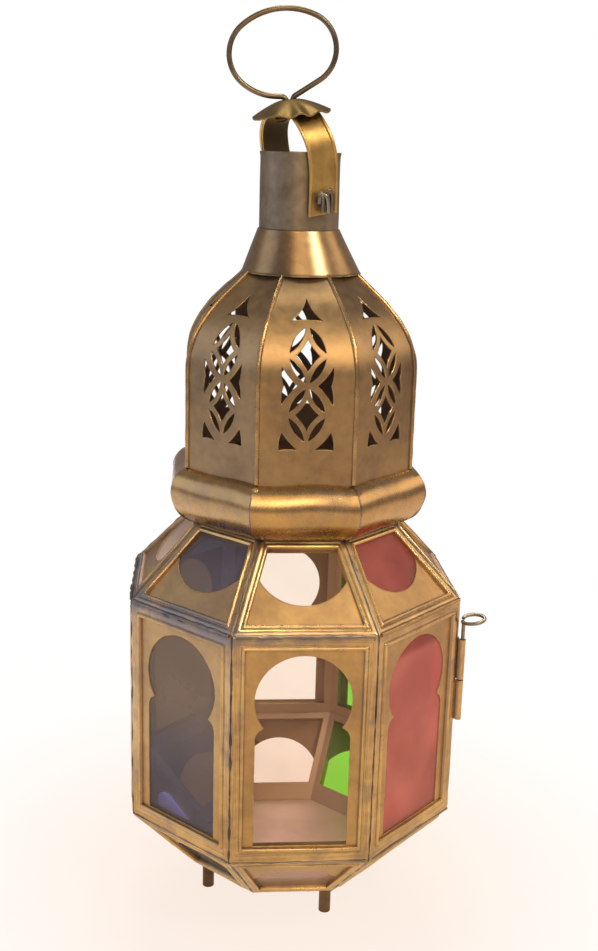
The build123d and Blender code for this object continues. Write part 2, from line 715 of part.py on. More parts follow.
def neck_tube():
    """Open chimney, drilled for the two split pins."""
    low = COLLAR_TOP_Z - NECK_TUCK
    inner = NECK_RADIUS - SHEET
    outline = polygon((inner, low), (NECK_RADIUS, low), (NECK_RADIUS, NECK_TOP_Z), (inner, NECK_TOP_Z))
    drill = turned(cross_rod(TIE_RADIUS + SEAT_GAP, REACH), BAIL_TURN_DEG)
    return on_neck(revolve(on_meridian(outline), Axis.Z) - drill).solid()


STRAP_INNER = NECK_RADIUS + STRAP_CLEARANCE
STRAP_OUTER = STRAP_INNER + STRAP_SHEET
STRAP_SPRING_Z = PIVOT_Z + STRAP_LEG_RISE


def hoop(inner, outer):
    """Upside-down U between two half spans, with a round crown."""
    foot = PIVOT_Z - STRAP_LEG_DROP
    outline = Line((inner, foot), (outer, foot)) + Line((outer, foot), (outer, STRAP_SPRING_Z))
    outline += arc_about((0, STRAP_SPRING_Z), outer, 0, 180)
    outline += Line((-outer, STRAP_SPRING_Z), (-outer, foot)) + Line((-outer, foot), (-inner, foot))
    outline += Line((-inner, foot), (-inner, STRAP_SPRING_Z))
    outline += arc_about((0, STRAP_SPRING_Z), inner, 180, 0)
    outline += Line((inner, STRAP_SPRING_Z), (inner, foot))
    return on_meridian(make_face(outline))


def hung(shape):
    """A piece drawn on the upright bail, leant about the pivot and turned to its place."""
    leant = Pos(0, 0, PIVOT_Z) * Rot(BAIL_LEAN_DEG, 0, 0) * Pos(0, 0, -PIVOT_Z) * shape
    return on_neck(leant, BAIL_TURN_DEG)


def bail_strap():
    """Arched strap with two raised rims, drilled for its pins and for the ring's ends."""
    strap = extrude(hoop(STRAP_INNER, STRAP_OUTER), amount=STRAP_WIDTH / 2, both=True)
    rim = extrude(hoop(STRAP_INNER, STRAP_OUTER + STRAP_RIM_HEIGHT), amount=STRAP_RIM_WIDTH / 2, both=True)
    rim_place = (STRAP_WIDTH - STRAP_RIM_WIDTH) / 2
    strap += [Pos(0, rim_place, 0) * rim, Pos(0, -rim_place, 0) * rim]
    strap -= cross_rod(TIE_RADIUS + TIE_CLEARANCE, REACH)
    strap -= Pos(0, 0, STRAP_SPRING_Z) * extrude(Circle(CROWN_HOLE_RADIUS), amount=REACH)
    return hung(strap).solid()


def bail_tie():
    """Split pin on the +X end of the pivot: eye inside the neck, and two prongs folded down outside."""
    prong_x = STRAP_OUTER + STRAP_RIM_HEIGHT + PRONG_CLEARANCE + PRONG_RADIUS
    shank_start = NECK_RADIUS - SHEET - TIE_EYE_RADIUS
    shank_end = prong_x - PRONG_BEND + PRONG_RADIUS
    shank = Pos(shank_start, 0, PIVOT_Z) * Rot(0, 90, 0)
    shank *= extrude(Circle(TIE_RADIUS), amount=shank_end - shank_start)
    eye_x = NECK_RADIUS - SHEET - PRONG_CLEARANCE - PRONG_RADIUS - TIE_EYE_RADIUS
    tie = shank + Pos(eye_x, 0, PIVOT_Z) * Torus(TIE_EYE_RADIUS, PRONG_RADIUS)
    prong_start = STRAP_OUTER + PRONG_CLEARANCE
    moves = [(prong_x - PRONG_BEND - prong_start,), (PRONG_BEND, -90), (PRONG_LENGTH,)]
    edges, _ = bent_wire((prong_start, 0), 0, moves)
    prong = round_wire(edges, PRONG_RADIUS)
    for sign in (-1, 1):
        tie += Pos(0, sign * PRONG_OFFSET, PIVOT_Z) * Rot(sign * PRONG_SPLAY_DEG, 0, 0) * prong
    return tie.solid()


# Cap and ring

CAP_VALLEY = 1 - CAP_FLUTE
CAP_STEEPNESS = CAP_DROP / (CAP_RADIUS - CAP_CROWN_RADIUS)


def cap_seat():
    """Height of the cap's underside at its crown, so that its flutes rest on the strap's rims."""
    rim = STRAP_OUTER + STRAP_RIM_HEIGHT
    reach = CAP_RADIUS * (1 - CAP_SCALLOP)
    heights = []
    for step in range(CAP_SEAT_STEPS):
        across = reach * step / CAP_SEAT_STEPS
        away = math.hypot(across, STRAP_WIDTH / 2)
        drop = CAP_STEEPNESS * max(0, away / CAP_VALLEY - CAP_CROWN_RADIUS)
        heights.append(math.sqrt(rim**2 - across**2) + drop)
    return STRAP_SPRING_Z + max(heights) + CAP_GAP


CAP_UNDER_Z = cap_seat()
CAP_TOP_Z = CAP_UNDER_Z + SHEET


def scalloped(radius, depth, height):
    """Closed outline of lobes, each an arc from valley to valley; depth is a share of radius."""
    lobe = math.radians(360 / CAP_LOBES)
    valley = radius * (1 - depth)
    edges = []
    for i in range(CAP_LOBES):
        spots = ((valley, i), (radius, i + 0.5), (valley, i + 1))
        points = [(r * math.cos(lobe * t), r * math.sin(lobe * t), height) for r, t in spots]
        edges.append(ThreePointArc(*points))
    return Wire(edges)


def fluted_cone(top):
    """Solid umbrella of ruled flutes, carried past the rim so that the rim can be cut to shape."""
    low_radius = CAP_RADIUS / CAP_VALLEY
    low = Face(scalloped(low_radius, CAP_FLUTE, top - CAP_STEEPNESS * (low_radius - CAP_CROWN_RADIUS)))
    return loft([Face(scalloped(CAP_CROWN_RADIUS, CAP_FLUTE, top)), low], ruled=True)


def cap_rosette():
    """Fluted cap with a scalloped, wavy rim and a hole for the ring's ends."""
    shell = fluted_cone(CAP_TOP_Z) - fluted_cone(CAP_UNDER_Z)
    outline = Face(scalloped(CAP_RADIUS, CAP_SCALLOP, CAP_TOP_Z + SHEET))
    shell = shell & extrude(outline, amount=-REACH)
    drill = Pos(0, 0, CAP_TOP_Z - REACH) * extrude(Circle(CAP_HOLE_RADIUS), amount=2 * REACH)
    return hung(shell - drill).solid()


RING_BENDS = (
    (RING_HEEL_RADIUS, RING_HEEL_DEG),
    (RING_SIDE_RADIUS, RING_SIDE_DEG),
    (RING_TOP_RADIUS, RING_TOP_DEG),
    (RING_TAIL_RADIUS, RING_TAIL_DEG),
)


def hanging_ring():
    """One bent wire: right foot, right shank, loop, left shank and left foot."""
    crown_inner = STRAP_SPRING_Z + STRAP_INNER
    foot_z = crown_inner - RING_FOOT_DROP - RING_FOOT_BEND
    foot_x = RING_SHANK_OFFSET + RING_FOOT_BEND + RING_FOOT_RUN
    loop, heading = bent_wire((0, 0), RING_LEAN_DEG, [(RING_RUN,), *RING_BENDS])
    turn_down = 90 + heading - 360
    loop_end = loop[-1] @ 1
    lean = math.radians(90 - RING_LEAN_DEG)
    loop_x = RING_SHANK_OFFSET + RING_FOOT_BEND * (1 - math.cos(lean))
    drop = math.radians(turn_down)
    tail_x = -RING_SHANK_OFFSET - RING_FOOT_BEND * math.sin(drop)
    tail = (tail_x - loop_x - loop_end.X) / math.cos(math.radians(heading))
    tail_rise = loop_end.Y + tail * math.sin(math.radians(heading))
    tail_z = CAP_TOP_Z + RING_CAP_CLEARANCE + RING_WIRE_RADIUS
    shank_top = tail_z - tail_rise - RING_FOOT_BEND * math.sin(lean)
    left_top = tail_z - RING_FOOT_BEND * (1 - math.cos(drop))
    moves = [
        (RING_FOOT_RUN,),
        (RING_FOOT_BEND, -90),
        (shank_top - foot_z - RING_FOOT_BEND,),
        (RING_FOOT_BEND, RING_LEAN_DEG - 90),
        (RING_RUN,),
        *RING_BENDS,
        (tail,),
        (RING_FOOT_BEND, -turn_down),
        (left_top - foot_z - RING_FOOT_BEND,),
        (RING_FOOT_BEND, -90),
        (RING_FOOT_RUN,),
    ]
    edges, _ = bent_wire((foot_x, foot_z), 180, moves)
    return hung(turned(round_wire(edges, RING_WIRE_RADIUS), RING_TURN_DEG - BAIL_TURN_DEG)).solid()


# Floor and feet

def floor_plate():
    """Octagonal sheet between the lower rails of the base."""
    radius = (INNER[0][0] - SEAT_GAP) / math.cos(HALF_SIDE_RAD)
    outline = RegularPolygon(radius, SIDES, rotation=SIDE_DEG / 2)
    return (Pos(0, 0, FOOT_HEIGHT) * extrude(outline, amount=FLOOR_SHEET)).solid()


def foot():
    """Rolled stub with an open seam towards the axis, under the corner at half a side's angle."""
    half = math.tan(math.radians(FOOT_SEAM_DEG / 2)) * 2 * FOOT_RADIUS
    seam = polygon((0, 0), (-2 * FOOT_RADIUS, -half), (-2 * FOOT_RADIUS, half))
    section = Circle(FOOT_RADIUS) - Circle(FOOT_RADIUS - SHEET) - seam
    return turned(Pos(FOOT_RING, 0, 0) * extrude(section, amount=FOOT_HEIGHT), SIDE_DEG / 2).solid()


def all_round(shape, step=1):
    """Copies of a shape at every side, or at every second one with step 2."""
    return [turned(shape, side_angle(i)) for i in range(0, SIDES, step)]


def build():
    """All nodes: name to list of solids."""
    nodes = body_panels()
    nodes |= hinge_tubes()
    nodes["hinge_pin"] = [hinge_pin()]
    nodes["door_catch"] = [door_catch()]
    nodes["moulding_segments"] = all_round(moulding_segment())
    for side, gore in zip(SIDE_NAMES, all_round(dome_gore())):
        nodes[f"dome_gore_{side}"] = [gore]
    nodes["dome_seams"] = all_round(dome_seam())
    nodes["collar_cone"] = [collar_cone()]
    nodes["neck_tube"] = [neck_tube()]
    nodes["bail_strap"] = [bail_strap()]
    tie = bail_tie()
    nodes["bail_ties"] = [on_neck(tie, BAIL_TURN_DEG), on_neck(tie, BAIL_TURN_DEG + 180)]
    nodes["cap_rosette"] = [cap_rosette()]
    nodes["hanging_ring"] = [hanging_ring()]
    nodes["floor_plate"] = [floor_plate()]
    nodes["feet"] = all_round(foot(), 2)
    return nodes


os.makedirs("parts", exist_ok=True)
for node_name, solids in build().items():
    export_step(Compound(children=solids) if len(solids) > 1 else solids[0], f"parts/{node_name}.step")
hinge_angle = math.radians(HINGE_DEG)
print("hinge axis", HINGE_RADIUS * math.cos(hinge_angle), HINGE_RADIUS * math.sin(hinge_angle))
print("bail pivot height", PIVOT_Z, "cap top", CAP_TOP_Z, "neck top", NECK_TOP_Z)
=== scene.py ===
# %% [markdown]
# # An eight-sided brass fanous
# The lantern is soldered from thin brass sheet and folded brass channel, with panes of coloured glass. The
# solid model already gives every piece its true size and place. This lesson adds what light sees: the
# studio, the worn metal, the glass, and smooth versions of the rolled and bent pieces.

# %% Load the frame
import bpy
import json
import math
import numpy as np
from mathutils import Matrix, Vector


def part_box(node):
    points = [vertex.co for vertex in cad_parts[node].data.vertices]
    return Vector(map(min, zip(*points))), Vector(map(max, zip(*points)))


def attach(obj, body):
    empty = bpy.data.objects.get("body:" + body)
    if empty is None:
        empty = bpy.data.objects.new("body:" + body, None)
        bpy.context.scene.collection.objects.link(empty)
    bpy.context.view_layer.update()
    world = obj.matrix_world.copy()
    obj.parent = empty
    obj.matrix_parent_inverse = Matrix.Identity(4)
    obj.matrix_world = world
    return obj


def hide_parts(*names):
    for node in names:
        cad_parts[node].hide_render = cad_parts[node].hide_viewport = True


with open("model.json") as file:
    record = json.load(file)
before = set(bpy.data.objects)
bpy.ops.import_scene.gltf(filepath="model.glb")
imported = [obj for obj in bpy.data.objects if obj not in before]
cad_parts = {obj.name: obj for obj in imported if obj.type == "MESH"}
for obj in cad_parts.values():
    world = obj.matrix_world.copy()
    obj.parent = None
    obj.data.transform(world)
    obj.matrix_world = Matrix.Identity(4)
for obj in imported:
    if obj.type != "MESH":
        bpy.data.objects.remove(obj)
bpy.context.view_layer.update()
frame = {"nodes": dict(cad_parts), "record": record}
MM = 0.001
print("nodes loaded:", len(frame["nodes"]))

# %% [markdown]
# ## The camera
# The photograph was taken from slightly left of the front and a little above. A Track To constraint could
# aim the camera, but gives no say over the roll. Here two angles and a roll give the camera's three axes,
# the columns of its matrix.

# %% Camera
EYE = (-0.0376, -0.4503, 0.2877)
AZIMUTH, PITCH, ROLL = (math.radians(angle) for angle in (-4.77, 14.66, 1.53))
FOCAL_LENGTH = 45.79
SHIFT_X, SHIFT_Y = 0.0039, -0.0006

level = Vector((-math.sin(AZIMUTH), math.cos(AZIMUTH), 0))
side = level.cross(Vector((0, 0, 1)))
ahead = level * math.cos(PITCH) - Vector((0, 0, math.sin(PITCH)))
above = side.cross(ahead)
camera_right = side * math.cos(ROLL) + above * math.sin(ROLL)
camera_up = above * math.cos(ROLL) - side * math.sin(ROLL)
lens = bpy.data.cameras.new("photo_lens")
lens.lens = FOCAL_LENGTH
lens.shift_x = SHIFT_X
lens.shift_y = SHIFT_Y
lens.clip_start = 0.01
camera = bpy.data.objects.new("photo_camera", lens)
camera.matrix_world = Matrix((camera_right, camera_up, -ahead)).transposed().to_4x4()
camera.location = EYE
bpy.context.collection.objects.link(camera)
bpy.context.scene.camera = camera
bpy.context.scene.view_settings.view_transform = "Standard"
print("camera at", tuple(camera.location))

# %% [markdown]
# ## Wiring shaders with sums
# A finish is a small circuit: noise, edges and grime mixed into a colour. Circuits are often drawn by hand
# in the Shader Editor. This class lets them be written as arithmetic, which is shorter and easier to
# change: a sum of two wires adds a Math node, and node() adds any other node.

# %% Wire class
class Wire:
    """One output of a node. Sums, differences and products of wires and numbers make Math nodes."""

    def __init__(self, tree, socket=None):
        self.tree = tree
        self.socket = socket

    def node(self, kind, settings=None, links=None, out=0):
        """Any node of the tree: its settings, then values or wires for its inputs."""
        made = self.tree.nodes.new("ShaderNode" + kind)
        for key, value in (settings or {}).items():
            setattr(made, key, value)
        for key, value in (links or {}).items():
            if isinstance(value, Wire):
                self.tree.links.new(value.socket, made.inputs[key])
            else:
                made.inputs[key].default_value = value
        return Wire(self.tree, made.outputs[out]) if len(made.outputs) else None

    def maths(self, operation, first, second):
        """Math node of two wires or numbers."""
        return self.node("Math", {"operation": operation}, {0: first, 1: second})

    def __add__(self, other):
        return self.maths("ADD", self, other)

    def __radd__(self, other):
        return self.maths("ADD", other, self)

    def __sub__(self, other):
        return self.maths("SUBTRACT", self, other)

    def __rsub__(self, other):
        return self.maths("SUBTRACT", other, self)

    def __mul__(self, other):
        return self.maths("MULTIPLY", self, other)

    def __rmul__(self, other):
        return self.maths("MULTIPLY", other, self)

    def step(self, low, high):
        """0 below low, 1 above high, and a smooth slope between."""
        settings = {"interpolation_type": "SMOOTHSTEP"}
        return self.node("MapRange", settings, {"Value": self, "From Min": low, "From Max": high})

    def between(self, none, full):
        """Colour that goes from none to full as this wire goes from 0 to 1."""
        return self.node("Mix", {"data_type": "RGBA"}, {0: self, 6: none, 7: full}, out=2)


print("wires ready")

# %% [markdown]
# ## Materials and colours
# Every finish starts from an empty material. Colours are picked on a 0 to 255 screen scale, but Blender
# mixes light in linear values, so rgb() turns one into the other.

# %% Material tools
def start_material(name):
    """An empty material and a wire to build its circuit from."""
    material = bpy.data.materials.new(name)
    material.use_nodes = True
    material.node_tree.nodes.clear()
    return material, Wire(material.node_tree)


def rgb(red, green, blue):
    """Colour picked on a 0 to 255 screen scale, turned into linear light."""
    share = np.array([red, green, blue]) / 255
    linear = np.where(share <= 0.04045, share / 12.92, ((share + 0.055) / 1.055) ** 2.4)
    return (*(float(c) for c in linear), 1.0)


print("middle grey is", round(rgb(128, 128, 128)[0], 3), "in linear light")

# %% [markdown]
# ## Studio: the room
# The photograph has a white ground. One white world would give it, but brass mirrors its surroundings and
# would lose its dark sides. So the world is white for the camera and a dim room for every other ray.

# %% Room
WHITE = (1, 1, 1, 1)

world = bpy.data.worlds.new("studio")
world.use_nodes = True
world.node_tree.nodes.clear()
bpy.context.scene.world = world
sky = Wire(world.node_tree)
to_camera = sky.node("LightPath", out="Is Camera Ray")
white = sky.node("Background", None, {"Color": WHITE, "Strength": 1.0})
room = sky.node("Background", None, {"Color": rgb(186, 176, 174), "Strength": 0.62})
sky.node("OutputWorld", None, {0: sky.node("MixShader", None, {0: to_camera, 1: room, 2: white})})
print("room ready")

# %% [markdown]
# ## Studio: the lamps
# Soft square lamps stand round the lantern as on a photographer's table. Bright metal shows a lamp where
# its slope mirrors it, so each has a place to light: the key streaks the collar, two in front light
# moulding and roof, the top one the dome's shoulder. The one behind fills the inside through the back
# panes. It is kept out of reflections, where it would draw hard lines along the far rails.

# %% Lamps
AIM = Vector((0, 0, 0.17))


def soft_lamp(name, place, size, power, colour):
    """Square area lamp that faces the middle of the lantern."""
    lamp = bpy.data.lights.new(name, "AREA")
    lamp.size = size
    lamp.energy = power
    lamp.color = colour[:3]
    holder = bpy.data.objects.new(name, lamp)
    holder.location = place
    holder.rotation_euler = (AIM - Vector(place)).to_track_quat("-Z", "Y").to_euler()
    bpy.context.collection.objects.link(holder)
    return holder


soft_lamp("lamp_key", (0.56, -0.62, 0.98), 0.26, 5.0, rgb(255, 240, 216))
soft_lamp("lamp_top", (-0.02, 0.18, 1.20), 0.26, 4.6, rgb(255, 240, 212))
soft_lamp("lamp_right", (0.90, 0.06, 0.60), 0.50, 1.3, rgb(255, 228, 200))
soft_lamp("lamp_left", (-0.95, -0.06, 0.56), 0.70, 1.5, rgb(214, 224, 250))
soft_lamp("lamp_front", (-0.06, -0.80, 0.62), 0.36, 2.1, rgb(255, 224, 184))
soft_lamp("lamp_over", (0.02, -0.58, 0.82), 0.40, 0.6, rgb(255, 222, 172))
lamp_back = soft_lamp("lamp_back", (0.05, 0.85, 0.66), 0.50, 11.0, rgb(255, 242, 240))
lamp_back.visible_glossy = False
print("lamps:", len(bpy.data.lights))

# %% [markdown]
# ## Studio: the paper
# The lantern stands on white paper with a faint peach glow. A plain white floor would be grey where the
# lamps are weak. This one is mixed by Light Path: nearly white for the camera, with the shadow kept, a
# painted warm glow for reflections close by, so that upright brass mirrors a bright paper before it, and
# matte otherwise.

# %% Paper
def stage_square(name, west, east, south, north, height):
    """Level rectangle of the studio."""
    mesh = bpy.data.meshes.new(name)
    corners = [(west, south, height), (east, south, height), (east, north, height), (west, north, height)]
    mesh.from_pydata(corners, [], [(0, 1, 2, 3)])
    square = bpy.data.objects.new(name, mesh)
    bpy.context.collection.objects.link(square)
    return square


floor = stage_square("floor", -4, 4, -4, 4, 0)
paper, ink = start_material("paper")
spot = ink.node("TexCoord", out="Object")
away = ink.node("VectorMath", {"operation": "LENGTH"}, {0: spot}, out="Value")
matte = ink.node("BsdfDiffuse", None, {"Color": rgb(240, 228, 218)})
# Painted glow: near the lantern the paper shines warm, but only in reflections.
warm_reflection_glow = ink.node("Emission", None, {"Color": rgb(255, 228, 192), "Strength": 1.0})
reflection_glow_share = ink.node("LightPath", out="Is Glossy Ray") * (0.92 - 0.92 * away.step(0.22, 0.60))
sheet = ink.node("MixShader", None, {0: reflection_glow_share, 1: matte, 2: warm_reflection_glow})
glow = away.step(0.03, 0.20).between(rgb(255, 241, 230), WHITE)
lit = ink.node("Emission", None, {"Color": glow, "Strength": 1.0})
seen = ink.node("LightPath", out="Is Camera Ray") * (0.92 + 0.08 * away.step(0.10, 0.45))
ink.node("OutputMaterial", None, {0: ink.node("MixShader", None, {0: seen, 1: sheet, 2: lit})})
floor.data.materials.append(paper)
print("paper ready")

# %% [markdown]
# ## Studio: the cards
# The left of the lantern mirrors something cool and the right something warm. A photographer lays coloured
# cards beside the subject for this, and so does this scene. Camera and shadows don't see them.

# %% Cards
CARDS = (("card_left", -2.0, -0.16, rgb(224, 231, 250)), ("card_right", 0.20, 2.0, rgb(214, 204, 198)))
CARD_HEIGHT = 3 * MM

for name, west, east, colour in CARDS:
    card = stage_square(name, west, east, -2.0, 1.5, CARD_HEIGHT)
    card.visible_camera = False
    card.visible_shadow = False
    card_paper, dye = start_material(name)
    dye.node("OutputMaterial", None, {0: dye.node("BsdfDiffuse", None, {"Color": colour})})
    card.data.materials.append(card_paper)
print("cards:", len(CARDS))

# %% [markdown]
# ## Noise, angles and bands
# Three helpers keep the recipes below short: noise over a place, the dot product that compares two
# directions, and a band between two heights at the eaves.

# %% Shader helpers
EAVE_HEIGHT = 128.0 * MM


def noise(wire, place, scale, detail, roughness=0.5):
    """Noise between 0 and 1 over a place, with about scale patches to the metre."""
    links = {"Vector": place, "Scale": scale, "Detail": detail, "Roughness": roughness}
    return wire.node("TexNoise", None, links)


def dot(wire, first, second):
    """Dot product of two vectors."""
    return wire.node("VectorMath", {"operation": "DOT_PRODUCT"}, {0: first, 1: second}, out="Value")


def band(height, start, full, last, end):
    """1 between two heights over the eave, with smooth slopes outside them, all in mm."""
    low = height.step(EAVE_HEIGHT + start * MM, EAVE_HEIGHT + full * MM)
    return low * (1 - height.step(EAVE_HEIGHT + last * MM, EAVE_HEIGHT + end * MM))


print("shader helpers ready")

# %% [markdown]
# ## Aged brass
# Brass darkens where it is not rubbed. Broad noise gives patches of warm and brown metal, fine noise the
# mottling, and drawn channel has lines along its length. A painted texture could hold this, but rules fit
# every piece at once: a short occlusion ray finds the creases, darkened with grime and painted shade, and a
# bevelled normal the edges, rubbed bright and given a painted highlight, as is the bead of a channel. Tin is
# smeared at the left eaves. Faces that look at the axis take an inside colour: soot on some metals,
# painted light inside frames and sheets, painted shade inside the strap.

# %% Brass
SOOT = rgb(122, 108, 98)
TIN_SMEAR = rgb(134, 122, 116)
TIN_BAND = rgb(130, 127, 129)
# Lighter gold of worn edges and beads, partly a painted highlight.
RUBBED_AND_HIGHLIGHT = rgb(240, 206, 136)


def brass(name, bright, dull, grime_and_shade_colour, rough, smear=0.0, edge=0.6 * MM, lines=0.0, metal=1.0,
          soot_and_painted_inside=0.0, inner=SOOT, polish_and_highlight=0.0, tinned=0.0):
    """Brass with patina patches, drawn lines, grimy creases with painted shade, tin, a sooty inside with
    painted light and shade, and worn edges with a painted highlight.

    bright, dull, grime_and_shade_colour and inner are colours of its patches, creases and inside. rough is
    the roughness of clean metal, edge is the radius of an edge, and the rest say from 0 to 1 how much there
    is of a mark.
    """
    material, wire = start_material(name)
    place = wire.node("TexCoord", out="Object")
    height = wire.node("SeparateXYZ", None, {0: place}, out="Z")
    beside = wire.node("SeparateXYZ", None, {0: place}, out="X")
    across = wire.node("Attribute", {"attribute_name": "across"}, out="Fac")

    # Patches, mottling and specks of patina, and lines that follow a drawn channel
    shift = wire.node("CombineXYZ", None, {0: across * 60.0})
    drawn = wire.node("VectorMath", {"operation": "ADD"}, {0: place, 1: shift})
    patches = noise(wire, place, 34.0, 4.0)
    mottle = noise(wire, place, 260.0, 5.0, 0.6)
    speck = noise(wire, place, 1500.0, 2.0)
    line = noise(wire, drawn, 45.0, 4.0, 0.7)
    tone = (patches * 0.5 + mottle * 0.3 + line * (0.2 + lines) - 0.5 * lines).step(0.31, 0.69)
    colour = tone.between(dull, bright)

    # Grime and painted shade in the creases, where a short occlusion ray finds metal close by
    open_air = wire.node("AmbientOcclusion", {"samples": 6}, {"Distance": 3 * MM}, out="AO")
    crease = 1 - open_air.step(0.20, 0.80)
    grime_and_shade = crease * (0.6 + 0.4 * mottle)
    colour = grime_and_shade.between(colour, grime_and_shade_colour)

    # Tin: stray smears, and a band on both sides of the left eaves
    tin = noise(wire, place, 80.0, 5.0, 0.6)
    colour = (tin.step(0.50, 0.66) * smear).between(colour, TIN_SMEAR)
    left_eave = band(height, -5.4, -2.6, 2.5, 5.5) * (1 - beside.step(-0.020, 0.030))
    colour = (left_eave * tin.step(0.36, 0.54) * tinned).between(colour, TIN_BAND)

    # Inside colour on faces that look at the axis: soot on some metals, painted light inside frames and
    # sheets, painted shade inside the strap
    outward = wire.node("VectorMath", {"operation": "MULTIPLY"}, {0: place, 1: (1, 1, 0)})
    facing = dot(wire, outward, wire.node("TexCoord", out="Normal"))
    inside = (0 - facing).step(0.004, 0.010) * soot_and_painted_inside
    colour = inside.between(colour, inner)

    # Rubbed edges and the polished bead of a channel, lighter gold as wear and as a painted highlight; the
    # bead is duller on the low rails of the roof
    rounded = wire.node("Bevel", {"samples": 4}, {"Radius": edge})
    agree = dot(wire, wire.node("NewGeometry", out="Normal"), rounded)
    rim = (1 - agree).step(0.02, 0.20)
    low_rail = band(height, 1.0, 2.5, 4.8, 6.8)
    bead = (1 - across.step(1.4 * MM, 2.0 * MM)) * (1 - inside) * (1 - 0.8 * low_rail) * polish_and_highlight
    rubbed_and_highlight = (rim * mottle.step(0.32, 0.60) + bead * patches.step(0.30, 0.55)) * (1 - crease)
    colour = (rubbed_and_highlight * 0.7).between(colour, RUBBED_AND_HIGHLIGHT)

    roughness = rough + 0.14 * mottle + 0.05 * speck + 0.30 * grime_and_shade + 0.25 * inside - 0.10 * rubbed_and_highlight
    relief = mottle * 0.5 + speck * 0.15 + line * lines
    dents = {"Strength": 0.15, "Distance": 0.3 * MM, "Height": relief, "Normal": rounded}
    bump = wire.node("Bump", None, dents)
    metallic = metal * (1 - 0.6 * grime_and_shade - 0.5 * inside)
    links = {"Base Color": colour, "Metallic": metallic, "Roughness": roughness, "Normal": bump}
    wire.node("OutputMaterial", None, {0: wire.node("BsdfPrincipled", None, links)})
    return material


print("brass recipe ready")

# %% [markdown]
# ## The metals of this lantern
# The pieces have aged differently: frames are handled and bright, the neck is smoked, the wires are dark
# steel. The floor plate is painted pale and nearly matte, painted light for the dim inside, and so are the
# insides of frames and sheets. The strap is a brighter gold, partly a painted highlight, with its inside
# painted dark as shade. One recipe with other values keeps them related, as pieces of one lantern are.

# %% Metals
# Colour of the darkened creases: grime and painted shade.
GRIME_AND_SHADE = rgb(52, 42, 34)
# Pale colour for the insides of frames and sheets: painted light for the dim inside of the lantern.
PAINTED_INSIDE_LIGHT = rgb(204, 184, 174)
WIRE_EDGE = 0.3 * MM
CHANNEL_MARKS = {"lines": 0.5, "soot_and_painted_inside": 0.8, "inner": PAINTED_INSIDE_LIGHT, "tinned": 0.85}

frame_brass = brass("frame_brass", rgb(220, 188, 134), rgb(158, 132, 104), GRIME_AND_SHADE, 0.22,
                    smear=0.45, polish_and_highlight=0.25, **CHANNEL_MARKS)
# The roof's beads take a strong painted highlight.
roof_brass = brass("roof_brass", rgb(220, 188, 134), rgb(158, 132, 104), GRIME_AND_SHADE, 0.20,
                   smear=0.35, polish_and_highlight=0.9, **CHANNEL_MARKS)
sheet_brass = brass("sheet_brass", rgb(204, 170, 116), rgb(160, 132, 98), GRIME_AND_SHADE, 0.28, soot_and_painted_inside=0.6, inner=PAINTED_INSIDE_LIGHT)
dome_brass = brass("dome_brass", rgb(180, 151, 107), rgb(132, 112, 88), GRIME_AND_SHADE, 0.25, soot_and_painted_inside=0.9)
neck_brass = brass("neck_brass", rgb(172, 156, 130), rgb(122, 111, 94), GRIME_AND_SHADE, 0.33, soot_and_painted_inside=0.9)
collar_brass = brass("collar_brass", rgb(184, 152, 104), rgb(130, 110, 87), GRIME_AND_SHADE, 0.20, soot_and_painted_inside=0.9)
gold_brass = brass("gold_brass", rgb(202, 166, 110), rgb(158, 132, 98), GRIME_AND_SHADE, 0.18, smear=0.25, soot_and_painted_inside=0.9)
# The strap is a brighter gold than the frames, partly a painted highlight; the inside of its legs is painted
# dark, a painted shade.
strap_brass_painted_bright = brass("strap_brass_painted_bright", rgb(244, 206, 124), rgb(196, 158, 94), GRIME_AND_SHADE, 0.24,
                    soot_and_painted_inside=0.9, inner=rgb(84, 78, 62))
cap_brass = brass("cap_brass", rgb(142, 122, 78), rgb(98, 84, 54), GRIME_AND_SHADE, 0.40)
foot_brass = brass("foot_brass", rgb(132, 108, 86), rgb(80, 66, 56), GRIME_AND_SHADE, 0.34)
# The floor plate is painted pale pink and nearly matte: painted light for the dim inside of the lantern.
floor_brass = brass("floor_brass", rgb(240, 218, 208), rgb(222, 200, 190), rgb(120, 96, 84), 0.45,
                    metal=0.04)
dark_wire = brass("dark_wire", rgb(138, 122, 96), rgb(86, 76, 60), rgb(30, 26, 20), 0.26, edge=WIRE_EDGE)
steel_wire = brass("steel_wire", rgb(168, 162, 150), rgb(84, 78, 70), rgb(30, 28, 26), 0.20,
                   edge=WIRE_EDGE)
joint_grey = brass("joint_grey", rgb(122, 112, 104), rgb(62, 56, 52), rgb(34, 30, 28), 0.30,
                   edge=WIRE_EDGE)
solder_grey = brass("solder_grey", rgb(164, 156, 148), rgb(92, 86, 82), rgb(40, 36, 34), 0.24,
                    edge=WIRE_EDGE)
print("metals ready")

# %% [markdown]
# ## Glass
# The panes are plain sheet glass with a film of dust. Real transmission would be slow and noisy behind so
# many panes. So a tinted Transparent shader lets view and light through, and a thin glossy film mixed over
# it carries reflections and haze. The film is thicker on some parts of a pane, where its colour is a painted
# reflection, and thinner at the top of the red panes, a painted shade.

# %% Glass
FADE_OUT = 4 * MM
CLEAR = (1.0, 0.96, 0.92, 1)


